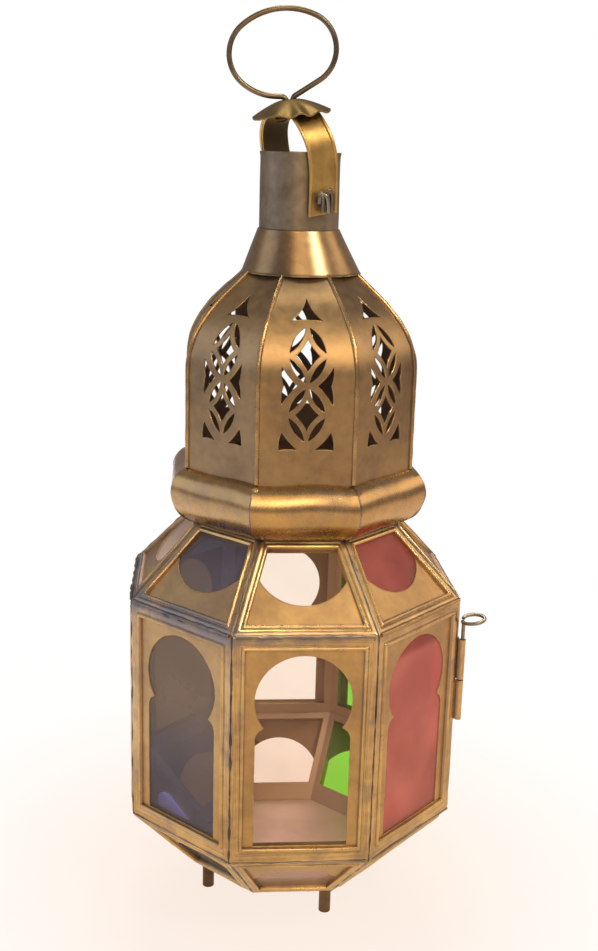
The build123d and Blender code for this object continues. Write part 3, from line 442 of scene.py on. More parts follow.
def pane(name, tint, film_and_sheen_colour, haze_and_painted_sheen, dust_and_painted_streaks=0.06, axis="Z", fade=(-2.0, -1.0), top=1.0, least=0.3, thin=None):
    """Tinted sheet glass under a coat of haze_and_painted_sheen, whose colour goes from thin to
    film_and_sheen_colour as it thickens.

    Along one axis the coat grows from a least share to all of it over fade, and it ends at top. The coat
    holds dust, and on blue and red panes, the front of the base and the left of the roof it is a painted
    reflection; where it thins at the top of a red pane it is painted shade.
    """
    material, wire = start_material(name)
    place = wire.node("TexCoord", out="Object")
    cloud = noise(wire, place, 38.0, 5.0)
    along = wire.node("SeparateXYZ", None, {0: place}, out=axis)
    # Band along one axis where the film is a painted reflection, thinner as painted shade where it fades.
    painted_sheen_band = along.step(*fade) * (1 - along.step(top, top + FADE_OUT))
    links = {"Base Color": painted_sheen_band.between(thin or film_and_sheen_colour, film_and_sheen_colour), "Roughness": 0.08 + 0.12 * cloud}
    sheen = wire.node("BsdfPrincipled", None, links)
    clear = wire.node("BsdfTransparent", None, {"Color": tint})
    # Cloud patches add dust, on the red panes also painted light streaks.
    cover = (haze_and_painted_sheen * (least + (1 - least) * painted_sheen_band)) + dust_and_painted_streaks * cloud.step(0.35, 0.75)
    wire.node("OutputMaterial", None, {0: wire.node("MixShader", None, {0: cover, 1: clear, 2: sheen})})
    return material


PANES = {
    "clear": pane("glass_clear", CLEAR, rgb(240, 214, 194), 0.022, 0.03),
    # Blue panes: a warmer, thicker film near the top is a painted reflection.
    "blue": pane("glass_blue", rgb(166, 172, 228), rgb(168, 152, 126), 0.36,
                 fade=(0.060, 0.096), top=0.124, least=0.72, thin=rgb(148, 144, 146)),
    # Red panes: the film is a painted reflection, thinner at the top as painted shade and at the bottom,
    # with painted light streaks.
    "red": pane("glass_red", rgb(206, 62, 66), rgb(216, 130, 122), 0.44, 0.16,
                fade=(0.030, 0.060), top=0.113, least=0.5),
    "green": pane("glass_green", rgb(190, 244, 140), rgb(140, 190, 100), 0.06),
    "amber": pane("glass_amber", rgb(240, 200, 110), rgb(190, 140, 60), 0.1),
}
# The base's clear panes: a pinkish film on their front half, dust and a painted reflection of the paper.
dust_and_reflection_pane = pane("glass_dust_and_reflection", (1.0, 0.94, 0.90, 1), rgb(194, 162, 150), 0.44,
                  axis="Y", top=0.0, least=0.05)
# The roof's clear panes: a thick pale film on the left side, a painted reflection.
roof_pane = pane("glass_roof", CLEAR, rgb(226, 204, 186), 0.60, 0.03, axis="X", top=-0.038, least=0.03)
print("glass ready")

# %% [markdown]
# ## Dressing the solid pieces
# Plates, panes, gores and hinge tubes are flat or plain, so their solid model is good enough and only
# takes a finish. The record gives each piece's slot, and a few pieces have a finish of their own.

# %% Dress the nodes
SIDES = ("front", "front_right", "right", "back_right", "back", "back_left", "left", "front_left")
FINISH = {"brass_frame": frame_brass, "brass_sheet": sheet_brass, "dark_wire": dark_wire}
FINISH |= {"glass_" + colour: material for colour, material in PANES.items()}
OWN_FINISH = {"floor_plate": floor_brass, "feet": foot_brass}
OWN_FINISH |= {"base_glass_clear": dust_and_reflection_pane, "roof_glass_clear": roof_pane}
OWN_FINISH |= {"dome_gore_" + side: dome_brass for side in SIDES}

slots = {part["node"]: part["material_slot"] for part in frame["record"]["subparts"]}
for node, thing in frame["nodes"].items():
    thing.data.materials.clear()
    thing.data.materials.append(OWN_FINISH.get(node, FINISH[slots[node]]))
print("dressed", len(slots), "nodes")

# %% [markdown]
# ## Surfaces from grids
# Every new piece is a closed profile carried round or along something, so its points form a grid. Bevelled
# curves and the Screw modifier make such shapes too, but a grid also takes dents and uneven edges. One
# function makes a mesh of grids, and one gives smooth wobble, because nothing here is machine made.

# %% Grid tools
def weave(name, points, loop=True, sharp=40.0):
    """Mesh of grids (grid, column, profile point, xyz). Profiles close up, and columns do or get flat ends.

    Over the quads a b c d, a negative sum of (c - a) x (d - b) . (a + b + c + d) is a negative volume: the
    faces look inwards, and they are turned round.
    """
    count, columns, ring = points.shape[:3]
    index = np.arange(count * columns * ring).reshape(count, columns, ring)
    first = index if loop else index[:, :-1]
    last = np.roll(index, -1, axis=1) if loop else index[:, 1:]
    quads = np.stack([first, last, np.roll(last, -1, axis=2), np.roll(first, -1, axis=2)], axis=-1)
    flat = points.reshape(-1, 3)
    a, b, c, d = (flat[quads[..., k]] for k in range(4))
    volume = np.sum(np.cross(c - a, d - b) * (a + b + c + d))
    faces = quads.reshape(-1, 4).tolist()
    if not loop:
        faces += index[:, 0, :].tolist() + index[:, -1, ::-1].tolist()
    if volume < 0:
        faces = [face[::-1] for face in faces]
    mesh = bpy.data.meshes.new(name)
    mesh.from_pydata(flat.tolist(), [], faces)
    mesh.shade_smooth()
    mesh.set_sharp_from_angle(angle=math.radians(sharp))
    piece = bpy.data.objects.new(name, mesh)
    bpy.context.collection.objects.link(piece)
    return piece


def settle(piece, body, slot, finish, *nodes):
    """Give a piece its finish, its body and the nodes that it stands for."""
    piece.data.materials.append(finish)
    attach(piece, body)
    if nodes:
        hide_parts(*nodes)
    print(piece.name, len(piece.data.polygons), "faces")


def wobble(place, length, seed):
    """Smooth value between about -1 and 1: the mean of six plane waves of one length, times 1.6."""
    rng = np.random.default_rng(seed)
    ways = rng.normal(size=(6, 3))
    ways *= 2 * np.pi / length / np.linalg.norm(ways, axis=1, keepdims=True)
    return 1.6 * np.sin(place @ ways.T + rng.uniform(0, 2 * np.pi, 6)).mean(axis=-1)


print("grid tools ready")

# %% [markdown]
# ## Channel frames: the outline
# The body is a taper, an upright wall and a taper: four points of distance from the axis and height. The
# back of the channel lies a fixed depth inside. Moving the points in would thin it at the bends, so the
# three lines are moved and crossed again.

# %% Outline of the body
FOOT_WIDE, BODY_WIDE, TOP_WIDE = 37.0 * MM, 62.0 * MM, 36.0 * MM
FOOT_HEIGHT, SILL_HEIGHT, TOP_HEIGHT = 11.2 * MM, 40.0 * MM, 156.2 * MM
CHANNEL_DEPTH = 4.0 * MM
OUTLINE = np.array([(FOOT_WIDE, FOOT_HEIGHT), (BODY_WIDE, SILL_HEIGHT),
                    (BODY_WIDE, EAVE_HEIGHT), (TOP_WIDE, TOP_HEIGHT)])


def unit_rows(rows):
    """Rows scaled to length 1."""
    return rows / np.linalg.norm(rows, axis=1, keepdims=True)


def meet(point, way, other, turn):
    """Where two lines of the (distance, height) plane cross, each given by a point and a direction."""
    step = np.linalg.solve(np.column_stack([way, -turn]), other - point)[0]
    return point + step * way


ways = unit_rows(np.diff(OUTLINE, axis=0))
inward = np.column_stack([-ways[:, 1], ways[:, 0]])
back_lines = OUTLINE[:3] + CHANNEL_DEPTH * inward
level_way = np.array([1.0, 0.0])
INNER = np.array([
    meet(back_lines[0], ways[0], OUTLINE[0], level_way),
    meet(back_lines[0], ways[0], back_lines[1], ways[1]),
    meet(back_lines[1], ways[1], back_lines[2], ways[2]),
    meet(back_lines[2], ways[2], OUTLINE[3], level_way),
])
print("back of the channel, mm:", (INNER / MM).round(2).tolist())

# %% [markdown]
# ## Channel frames: the profile
# A tinsmith folds strip into channel: a round bead beside the glass, a crease, a flat and a fold at the
# corner. A bevelled box would lack the crease, the dark line of every rail, so the profile is written out
# point by point, and its flat fits the width of the rail.

# %% Channel profile, in mm
BEAD_MIDDLE, BEAD_RADIUS = 0.72, 0.66


def channel(width):
    """Distances from the window's edge and heights over the side.

    A wall, a half-round bead (middle + radius cos, radius sin), a crease, a flat with a sine arch, a fold.
    """
    bead = np.linspace(np.pi, 0, 11)
    flat = np.linspace(1.75, width - 0.65, 6)
    arch = 0.06 + 0.14 * np.sin(np.linspace(0, np.pi, 6))
    fold = [width - 0.36, width - 0.14, width - 0.16]
    distance = [[0.05], BEAD_MIDDLE + BEAD_RADIUS * np.cos(bead), [1.48], flat, fold]
    height = [[-1.3], BEAD_RADIUS * np.sin(bead), [-0.10], arch, [-0.02, -0.25, -0.8]]
    return np.concatenate(distance), np.concatenate(height)


print("channel profile has", len(channel(5.0)[0]), "points")

# %% [markdown]
# ## Channel frames: one side
# Four lengths of channel are mitred into a frame. Boxes cut at 45 degrees would do for a window, but a
# taper has other angles. So the profile is laid on the four mitres and carried straight between them,
# which closes the mitres by itself, and a slight wobble shows the handwork.

# %% One framed side
HALF_TAN = math.tan(math.pi / 8)
RAIL_STEPS = 14


def directions(angle):
    """Ahead (cos, sin) and to the left (-sin, cos) at an angle."""
    return np.array([[math.cos(angle), math.sin(angle)], [-math.sin(angle), math.cos(angle)]])


def four_corners(halves, heights):
    """Corners of a trapezium as (sideways, up) rows, from half widths and heights, below and above."""
    ends = np.array([0, 0, 1, 1])
    return np.column_stack([np.array([-1, 1, 1, -1]) * halves[ends], heights[ends]])


def mitre_profiles(level, stile, low_rail, high_rail, gap):
    """The channel at the four mitres of a side: shares of the way from window to corner, then its back."""
    way = ways[level]
    low, high = OUTLINE[level] + (0, gap), OUTLINE[level + 1] - (0, gap)
    back_low, back_high = INNER[level] + (0, gap), INNER[level + 1] - (0, gap)
    rise = np.linalg.norm(high - low)
    inset = gap / math.cos(math.pi / 8)
    halves = np.array([low[0], high[0]]) * HALF_TAN - inset
    lean = (halves[1] - halves[0]) / rise
    rails = np.array([low_rail * MM, rise - high_rail * MM])
    window = four_corners(halves[0] + lean * rails - stile * MM * math.hypot(1, lean), rails)
    corner = four_corners(halves, np.array([0, rise]))
    back_halves = np.array([back_low[0], back_high[0]]) * HALF_TAN - inset
    back = four_corners(back_halves, np.array([(back_low - low) @ way, (back_high - low) @ way]))
    share = (channel(stile)[0] / stile)[None, :, None]
    front = window[:, None] + share * (corner - window)[:, None]
    return np.concatenate([front, back[:, None], window[:, None]], axis=1)


def carried(corners, shares):
    """Profiles at the corners of a ring, carried straight on: (1 - s) this corner + s the next one."""
    s = shares[None, :, None, None]
    straight = corners[:, None] * (1 - s) + np.roll(corners, -1, axis=0)[:, None] * s
    return straight.reshape(-1, *corners.shape[1:])


def framed_side(level, index, stile, low_rail, high_rail, gap=0.0):
    """Grid of one frame: mitres joined by straight rails, lifted by the profile's height and a wobble."""
    along = 0.5 - 0.5 * np.cos(np.pi * np.arange(RAIL_STEPS) / RAIL_STEPS)
    flat = carried(mitre_profiles(level, stile, low_rail, high_rail, gap), along)
    seed = 100 * level + index
    rough = np.concatenate([flat, np.zeros((*flat.shape[:2], 1))], axis=-1)
    uneven = 0.15 * wobble(rough, 17 * MM, seed) + 0.05 * wobble(rough, 5 * MM, seed + 40)
    lift = np.concatenate([channel(stile)[1] * MM, [-CHANNEL_DEPTH, -CHANNEL_DEPTH]])
    lift = lift + MM * uneven * (lift > -1 * MM)
    way = ways[level]
    foot = OUTLINE[level] + (0, gap)
    radius = foot[0] + flat[..., 1] * way[0] + lift * way[1]
    tall = foot[1] + flat[..., 1] * way[1] - lift * way[0]
    outward, sideways = directions(math.radians(-90 + 45 * index))
    level_place = radius[..., None] * outward + flat[..., :1] * sideways
    return np.concatenate([level_place, tall[..., None]], axis=-1)


print("columns of one frame:", 4 * RAIL_STEPS)

# %% [markdown]
# ## Channel frames: all sides
# Eight window sides, one of them the door, stand between eight of the base and eight of the roof. Each
# window frame is a piece of its own, and the tapers are one piece each, as in the solid model. Every point
# keeps how far across its channel it lies, so that the brass can draw lines along it.

# %% All frames
WINDOW_STILE, WINDOW_SILL, WINDOW_HEAD = 4.9, 6.0, 5.4
TAPER_STILE = 3.8
TAPERS = (("base", 0, 4.9, 4.4, frame_brass), ("roof", 2, 4.4, 5.0, roof_brass))
DOOR_GAP = 0.4 * MM


def across_mark(piece, points, stile):
    """Store how far across its channel each point lies, in metres, for the drawn lines of the brass."""
    distance = np.concatenate([channel(stile)[0], [0, 0]]) * MM
    mark = piece.data.attributes.new("across", "FLOAT", "POINT")
    mark.data.foreach_set("value", np.tile(distance, points.size // 3 // len(distance)).astype(np.float32))


for index, side in enumerate(SIDES):
    is_door = side == "right"
    gap = DOOR_GAP if is_door else 0.0
    points = framed_side(1, index, WINDOW_STILE, WINDOW_SILL, WINDOW_HEAD, gap)[None]
    made = weave("channel_" + side, points)
    across_mark(made, points, WINDOW_STILE)
    body, node = ("door", "door_frame") if is_door else ("lantern", "window_frame_" + side)
    settle(made, body, "brass_frame", frame_brass, node)
for name, level, low_rail, high_rail, finish in TAPERS:
    points = np.stack([framed_side(level, k, TAPER_STILE, low_rail, high_rail) for k in range(8)])
    made = weave("channel_" + name, points)
    across_mark(made, points, TAPER_STILE)
    settle(made, "lantern", "brass_frame", finish, name + "_frames")

# %% [markdown]
# ## Neck and collar
# Both are sheet rolled round a former, so they are nearly round, with shallow dents. A cylinder and a cone
# would be too perfect, so a closed profile of wall, lip, inner wall and hem is turned round the axis, and
# wobble moves it in and out.

# %% Neck and collar
UP = np.array([0, 0, 1])
SHEET = 0.6 * MM


def spokes(angle):
    """Level unit vectors (cos, sin, 0) at an array of angles."""
    return np.stack([np.cos(angle), np.sin(angle), np.zeros_like(angle)], axis=-1)


def turned_sheet(low_radius, high_radius, low, high, hem, flare, lean, dent, seed):
    """Sheet turned round the axis: radius runs evenly from low to high, plus dent times wobble.

    The lip flares, the foot has a hem, and lean gives the x of the middle at low and at high.
    """
    rows = np.linspace(0, 1, 24)
    swell = flare * np.clip(rows * 12 - 11, 0, 1) ** 2
    radius = low_radius + (high_radius - low_radius) * rows + swell
    wall = np.column_stack([radius, low + (high - low) * rows])
    bend = np.linspace(0, np.pi, 6)[1:-1]
    turn = np.column_stack([np.cos(bend), np.sin(bend)])
    lip = turn * SHEET / 2 + (high_radius + flare - SHEET / 2, high)
    foot = -turn * (SHEET + hem) / 2 + (low_radius + (hem - SHEET) / 2, low)
    profile = np.concatenate([wall, lip, wall[::-1] - (SHEET, 0), foot])
    ring = spokes(np.linspace(0, 2 * np.pi, 145)[:-1, None])
    place = ring * profile[None, :, :1] + UP * profile[None, :, 1:]
    place = place + ring * (dent * wobble(place, 22 * MM, seed))[..., None]
    slide = np.interp(place[..., 2], (low, high), lean)
    return place + slide[..., None] * np.array([1, 0, 0])


neck_low, neck_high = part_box("neck_tube")
neck_x = (neck_low[0] + neck_high[0]) / 2
neck_radius = (neck_high[0] - neck_low[0]) / 2
tube = turned_sheet(neck_radius, neck_radius, neck_low[2], neck_high[2] - SHEET / 2,
                    hem=0, flare=0.35 * MM, lean=(neck_x, neck_x), dent=0.12 * MM, seed=1)
settle(weave("neck", tube[None]), "lantern", "brass_sheet", neck_brass, "neck_tube")
cone_low, cone_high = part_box("collar_cone")
cone = turned_sheet(cone_high[0], neck_radius + SHEET * 1.1, cone_low[2], cone_high[2],
                    hem=0.5 * MM, flare=0, lean=(0, neck_x), dent=0.14 * MM, seed=2)
settle(weave("collar", cone[None]), "lantern", "brass_sheet", collar_brass, "collar_cone")

# %% [markdown]
# ## Moulding
# The ring under the dome is eight strips, rolled, mitred and soldered. Its profile is two arcs that meet
# upright at the widest line. A torus would be round in plan, so the profile is scaled to the eight corner
# planes and carried straight between them.

# %% Moulding
MOULDING_WIDE, MOULDING_HEIGHT = 47.4 * MM, 167.8 * MM
MOULDING_FOOT = np.array([37.15, 154.95]) * MM
MOULDING_TOP = np.array([41.4, 176.5]) * MM
STRIP_STEPS = 12


def quarter(end, count):
    """Arc from the widest line, where it stands upright, to an end point: (distance, height) rows.

    Over a run and a rise its radius is (run^2 + rise^2) / (2 run).
    """
    run, rise = MOULDING_WIDE - end[0], end[1] - MOULDING_HEIGHT
    radius = (run**2 + rise**2) / (2 * run)
    turn = np.linspace(0, math.acos(1 - run / radius), count)
    distance = MOULDING_WIDE - radius * (1 - np.cos(turn))
    height = MOULDING_HEIGHT + np.sign(rise) * radius * np.sin(turn)
    return np.column_stack([distance, height])


outer = np.concatenate([quarter(MOULDING_FOOT, 16)[::-1], quarter(MOULDING_TOP, 14)[1:]])
slope = unit_rows(np.gradient(outer, axis=0))
inner = outer - SHEET * np.column_stack([slope[:, 1], -slope[:, 0]])
profile = np.concatenate([outer, inner[::-1]])
corner_ring = spokes(np.radians(-112.5 + 45 * np.arange(8))[:, None]) / math.cos(math.pi / 8)
corners = corner_ring * profile[None, :, :1] + UP * profile[None, :, 1:]
strips = carried(corners, np.arange(STRIP_STEPS) / STRIP_STEPS)
strips *= 1 + (0.09 * MM * wobble(strips, 24 * MM, 3) / MOULDING_WIDE)[..., None]
settle(weave("moulding", strips[None], sharp=30), "lantern", "brass_sheet", gold_brass, "moulding_segments")

# %% [markdown]
# ## The hanging frame of the bail
# Strap, cap and ring lean together about the pivot. They could be made upright and turned as objects, but
# a finished piece has to lie unturned at the origin. So their points are carried into the frame that the
# joints give: the pivot's axis is its x direction and the ring's swivel axis its z direction.

# %% Bail frame
joint = {j["name"]: j for j in frame["record"]["behaviour"]["joints"]}
pivot = np.array(joint["bail_swing"]["pos_m"])
bail_x = np.array(joint["bail_swing"]["axis"])
bail_z = np.array(joint["ring_swivel"]["axis"])
bail_y = np.cross(bail_z, bail_x)
bail_lean = math.acos(bail_z[2])


def hung(place):
    """Points of the upright bail (x along the pivot, z up from it) carried to where the bail hangs."""
    return pivot + place[..., :1] * bail_x + place[..., 1:2] * bail_y + place[..., 2:] * bail_z


print("bail leans", round(math.degrees(bail_lean), 1), "degrees")

# %% [markdown]
# ## Strap
# A strip of brass with two raised, rounded edges, bent into an upside-down U. A bevelled curve would twist
# at the crown, so a closed section is pushed out along the normal of a path of leg, half circle and leg.
# The crown was bent over by hand while the legs stayed upright, so the legs are sheared back against the
# lean.

# %% Strap
SPAN, LEG_TOP, LEG_FOOT = 15.0 * MM, 16.0 * MM, -5.2 * MM
HALF_STRAP, STRAP_SHEET, BEAD = 6.0 * MM, 0.8 * MM, 0.62 * MM
LEG_ROWS = 13
SHEAR_TO, SHEAR_FADE = 6 * MM, 22 * MM

leg = np.linspace(LEG_FOOT, LEG_TOP, LEG_ROWS + 1)[:-1]
bend = np.linspace(0, np.pi, 49)
push_x = np.concatenate([np.ones(LEG_ROWS), np.cos(bend), -np.ones(LEG_ROWS)])
push_z = np.concatenate([np.zeros(LEG_ROWS), np.sin(bend), np.zeros(LEG_ROWS)])
run_x = SPAN * push_x
run_z = np.concatenate([leg, LEG_TOP + SPAN * np.sin(bend), leg[::-1]])
curl = np.linspace(-0.5 * np.pi, np.pi, 10)
bead_y = HALF_STRAP - BEAD + BEAD * np.cos(curl)
bead_n = STRAP_SHEET + BEAD * 0.35 + BEAD * np.sin(curl)
middle = np.linspace(HALF_STRAP - 2 * BEAD, -HALF_STRAP + 2 * BEAD, 8)
face_y = np.concatenate([[HALF_STRAP - BEAD], bead_y, middle, -bead_y[::-1], [-HALF_STRAP + BEAD]])
face_n = np.concatenate([[0], bead_n, np.full(len(middle), STRAP_SHEET), bead_n[::-1], [0]])
strip = np.stack([
    run_x[:, None] + push_x[:, None] * face_n,
    np.broadcast_to(face_y, (len(run_x), len(face_y))),
    run_z[:, None] + push_z[:, None] * face_n,
], axis=-1)
strip = strip + 0.10 * MM * wobble(strip, 15 * MM, 4)[..., None] * np.array([1, 0, 0])
height = strip[..., 2]
fade = np.clip((height - SHEAR_TO) / SHEAR_FADE, 0, 1)
shear = math.tan(bail_lean) * height * (1 - fade * fade * (3 - 2 * fade))
strip = strip + shear[..., None] * np.array([0, 1, 0])
settle(weave("strap", hung(strip)[None], loop=False), "bail", "brass_sheet", strap_brass_painted_bright, "bail_strap")

# %% [markdown]
# ## Cap
# A disc of thin sheet, dished and hammered so that its rim waves. Height falls ever faster towards the
# rim, and eight waves grow near it. Even waves would look pressed by a machine, so each runs ahead or lags
# behind.

# %% Cap
CAP_RADIUS, CAP_HOLE, CAP_DROP = 14.5 * MM, 2.8 * MM, 4.9 * MM
CAP_TOP = 308.30 * MM - pivot[2]
CAP_WAVE = 0.62 * MM

around = np.linspace(0, 2 * np.pi, 241)[:-1, None]
circle = spokes(around)
stray = 8 * around + 1.2 * np.sin(2 * around) + 0.7 * np.sin(3 * around + 1)
waves = np.cos(stray) * (0.75 + 0.25 * np.cos(2 * around + 1))
rim = CAP_RADIUS * (1 - 0.03 * (1 + 0.6 * waves + 0.4 * wobble(circle * CAP_RADIUS, 12 * MM, 22)))
share = np.linspace(0, 1, 26)[None, :]
reach = CAP_HOLE + (rim - CAP_HOLE) * share
fall = CAP_DROP * share**1.45 + CAP_WAVE * waves * share**2.8
disc = circle * reach[..., None] + (CAP_TOP - fall)[..., None] * UP
shell = np.concatenate([disc, disc[:, ::-1] - (0, 0, SHEET)], axis=1)
settle(weave("cap", hung(shell)[None]), "bail", "brass_sheet", cap_brass, "cap_rosette")

# %% [markdown]
# ## Hanging ring: the path
# One length of wire: a foot under the strap, a shank up through strap and cap, the loop, and the other
# shank and foot. A torus has no feet, and a free curve would kink. So the wire is walked like a bending
# plan, run after bend, and only the last run and the shanks are worked out to close it.

# %% Ring path, in mm and degrees
WIRE = 0.95 * MM
FOOT_BEND, FOOT_RUN, SHANK = 2.0, 2.5, 1.0
FOOT_CLEAR, TAIL_CLEAR = 0.8, 0.3
LOOP = ((9.8, None), (12.25, 124.5), (24.7, 64.0), (12.4, 99.0), (19.0, 39.5))
LEAN = 25.3


def walk(start, heading, moves):
    """Points and headings along runs (length, None) and bends (radius, turn in degrees, left positive)."""
    points, headings = [np.array(start)[None]], [np.array([heading])]
    for size, turn in moves:
        way, left = directions(math.radians(headings[-1][-1]))
        share = np.linspace(0, 1, 9 if turn is None else 4 + int(abs(turn) / 6))[1:, None]
        if turn is None:
            step = share * size * way
            swing = np.zeros(len(share))
        else:
            swept = np.radians(turn) * share
            hand = np.sign(turn)
            step = size * (np.sin(swept) * hand * way + (1 - np.cos(swept)) * hand * left)
            swing = np.degrees(swept[:, 0])
        points.append(points[-1][-1] + step)
        headings.append(headings[-1][-1] + swing)
    return np.concatenate(points), np.concatenate(headings)


loop_path, loop_heading = walk((0.0, 0.0), LEAN, LOOP)
last = loop_heading[-1]
lean, drop = math.radians(90 - LEAN), math.radians(last - 270)
loop_x = SHANK + FOOT_BEND * (1 - math.cos(lean))
tail_x = -SHANK - FOOT_BEND * math.sin(drop)
tail = (tail_x - loop_x - loop_path[-1, 0]) / math.cos(math.radians(last))
tail_z = CAP_TOP / MM + TAIL_CLEAR + WIRE / MM
right_top = tail_z - loop_path[-1, 1] - tail * math.sin(math.radians(last)) - FOOT_BEND * math.sin(lean)
left_top = tail_z - FOOT_BEND * (1 - math.cos(drop))
foot_z = (SPAN + LEG_TOP) / MM - FOOT_CLEAR - FOOT_BEND
up_moves = [(FOOT_RUN, None), (FOOT_BEND, -90)]
up_moves += [(right_top - foot_z - FOOT_BEND, None), (FOOT_BEND, LEAN - 90)]
down_moves = [(tail, None), (FOOT_BEND, 270 - last), (left_top - foot_z - FOOT_BEND, None)]
down_moves += [(FOOT_BEND, -90), (FOOT_RUN, None)]
path, heading = walk((SHANK + FOOT_BEND + FOOT_RUN, foot_z), 180.0, [*up_moves, *LOOP, *down_moves])
print("wire of the ring:", round(np.linalg.norm(np.diff(path, axis=0), axis=1).sum()), "mm long")

# %% [markdown]
# ## Hanging ring: the wire
# The path lies in one plane, so a circle spanned by the path's normal and the plane's normal follows it
# without a twist. The plane is then turned about the swivel to where the ring hangs in the photograph.

# %% Ring wire
RING_TURN = math.radians(58.0)

path = path * MM
angle = np.radians(heading)[:, None]
turn = np.linspace(0, 2 * np.pi, 15)[:-1]
normal = np.stack([-np.sin(angle), np.cos(angle)], axis=-1)
in_plane = path[:, None] + WIRE * np.cos(turn)[None, :, None] * normal
off_plane = np.broadcast_to(WIRE * np.sin(turn), in_plane.shape[:2])
wire_x = in_plane[..., 0] * math.cos(RING_TURN) - off_plane * math.sin(RING_TURN)
wire_y = in_plane[..., 0] * math.sin(RING_TURN) + off_plane * math.cos(RING_TURN)
wire = np.stack([wire_x, wire_y, in_plane[..., 1]], axis=-1)
settle(weave("ring", hung(wire)[None], loop=False), "ring", "dark_wire", dark_wire, "hanging_ring")

# %% [markdown]
# ## Lumpy lines
# Tin solder and the dome's ridges are uneven rods laid along a joint, and a bevelled curve would be even.
# One function carries a ring along any path and lets its radius wander, so that parts of a line sink into
# the joint and parts stand proud.

# %% Lumpy rods
ROD_POINTS = 60


def lumpy(path, across, thick, thin, seed):
    """Rod along a path: rings square to it, started from the across direction, thin to thick by wobble."""
    way = unit_rows(np.gradient(path, axis=0))
    side = unit_rows(np.cross(way, across))
    turn = np.linspace(0, 2 * np.pi, 11)[:-1]
    ring = np.cos(turn)[:, None] * side[:, None] + np.sin(turn)[:, None] * np.cross(way, side)[:, None]
    spot = path[:, None] + ring * thick
    lump = 0.5 + 0.5 * wobble(spot, 7 * MM, seed) + 0.16 * wobble(spot, 2.6 * MM, seed + 50)
    return path[:, None] + ring * (thin + (thick - thin) * np.clip(lump, 0, 1.2))[..., None]


def corner_angle(index):
    """Angle of the corner after side index."""
    return math.radians(-67.5 + 45 * index)


def corner_path(outline, index):
    """An outline of (distance, height) rows followed at the corner after side index, in even steps."""
    steps = np.concatenate([[0], np.cumsum(np.linalg.norm(np.diff(outline, axis=0), axis=1))])
    even = np.linspace(0, steps[-1], ROD_POINTS)
    distance, height = (np.interp(even, steps, outline[:, k]) for k in range(2))
    distance = distance / math.cos(math.pi / 8)
    angle = corner_angle(index)
    return np.column_stack([distance * math.cos(angle), distance * math.sin(angle), height])


def along_corner(outline, index, thick, thin, seed):
    """Rod along a corner of the lantern, its thickness in mm."""
    angle = corner_angle(index)
    tangent = np.array([-math.sin(angle), math.cos(angle), 0])
    return lumpy(corner_path(outline, index), tangent, thick * MM, thin * MM, seed)


def along_side(point, index, thick, thin, seed):
    """Level rod along one side, between the two corners at a (distance, height), its thickness in mm."""
    ends = [corner_path(np.array([point, point + (0, 1e-6)]), k)[0] for k in (index - 1, index)]
    path = ends[0] + (ends[1] - ends[0]) * np.linspace(0.025, 0.975, ROD_POINTS)[:, None]
    return lumpy(path, np.array([0, 0, 1.0]), thick * MM, thin * MM, seed)


print("rods ready")

# %% [markdown]
# ## Ridges of the dome
# Each joint of two gores is covered by a drawn ridge. Its path is the dome's outline at a corner: an
# upright wall, a tight bend, a wide bend and a short straight under the collar. A path traced by eye would
# float off the gores, so it is worked out from the bends.

# %% Dome ridges, in mm and degrees
WALL, WALL_FOOT, WALL_TOP = 41.4, 176.7, 213.0
TIGHT_BEND, WIDE_BEND = 30.0, 60.0
TIGHT_TURN, WIDE_TURN = 33, 47


def arc_rows(centre, radius, start, end):
    """Rows of (distance, height) on an arc: centre + radius (cos, sin) from start to end, in degrees."""
    turn = np.radians(np.linspace(start, end, 24))
    return np.column_stack([centre[0] + radius * np.cos(turn), centre[1] + radius * np.sin(turn)])


tight_centre = np.array([WALL - TIGHT_BEND, WALL_TOP])
tilt, slant = math.radians(TIGHT_TURN), math.radians(WIDE_TURN)
wide_centre = tight_centre - (WIDE_BEND - TIGHT_BEND) * directions(tilt)[0]
tight_rows = arc_rows(tight_centre, TIGHT_BEND, 0, TIGHT_TURN)
wide_rows = arc_rows(wide_centre, WIDE_BEND, TIGHT_TURN, WIDE_TURN)
run = (cone_low[2] / MM - wide_rows[-1, 1]) / math.cos(slant)
tuck = wide_rows[-1] + run * directions(slant)[1]
dome_line = np.concatenate([[(WALL, WALL_FOOT)], tight_rows, wide_rows[1:], [tuck]]) * MM
ridges = np.stack([along_corner(dome_line, k, 0.92, 0.72, 200 + k) for k in range(8)])
settle(weave("ridges", ridges, loop=False), "lantern", "brass_frame", gold_brass, "dome_seams")

# %% [markdown]
# ## Solder
# Tin closes the joints: thick along the left eaves and under the moulding, thin at the sills and in the
# mitres of tapers and moulding. The upright joints are dark with grime, and two eaves show a brass bead
# instead. All could be painted on, but real lines catch the light. Nothing crosses the edges of the door,
# which has to open.

# %% Solder
door_side = SIDES.index("right")
fixed_sides = [k for k in range(8) if k != door_side]
fixed_corners = [k for k in range(8) if k not in (door_side - 1, door_side)]
left_sides = [SIDES.index(side) for side in ("back", "back_left", "left", "front_left", "front")]
bead_sides = [k for k in fixed_sides if k not in left_sides]
sill, eave, shoulder = OUTLINE[1:]
SOLDER = (
    (along_side, eave, left_sides, 0.98, 0.4, 10),
    (along_side, eave - (0.3 * MM, 1.3 * MM), left_sides, 0.66, 0.05, 20),
    (along_side, sill - (0.2 * MM, 0), fixed_sides, 0.6, 0.1, 30),
    (along_side, shoulder, range(8), 1.2, 0.5, 40),
    (along_corner, OUTLINE[2:] - (0.25 * MM, 0), range(8), 0.58, 0.15, 70),
    (along_corner, OUTLINE[:2] - (0.25 * MM, 0), range(8), 0.62, 0.1, 90),
    (along_corner, outer - (0.12 * MM, 0), range(8), 0.36, 0.1, 110),
)

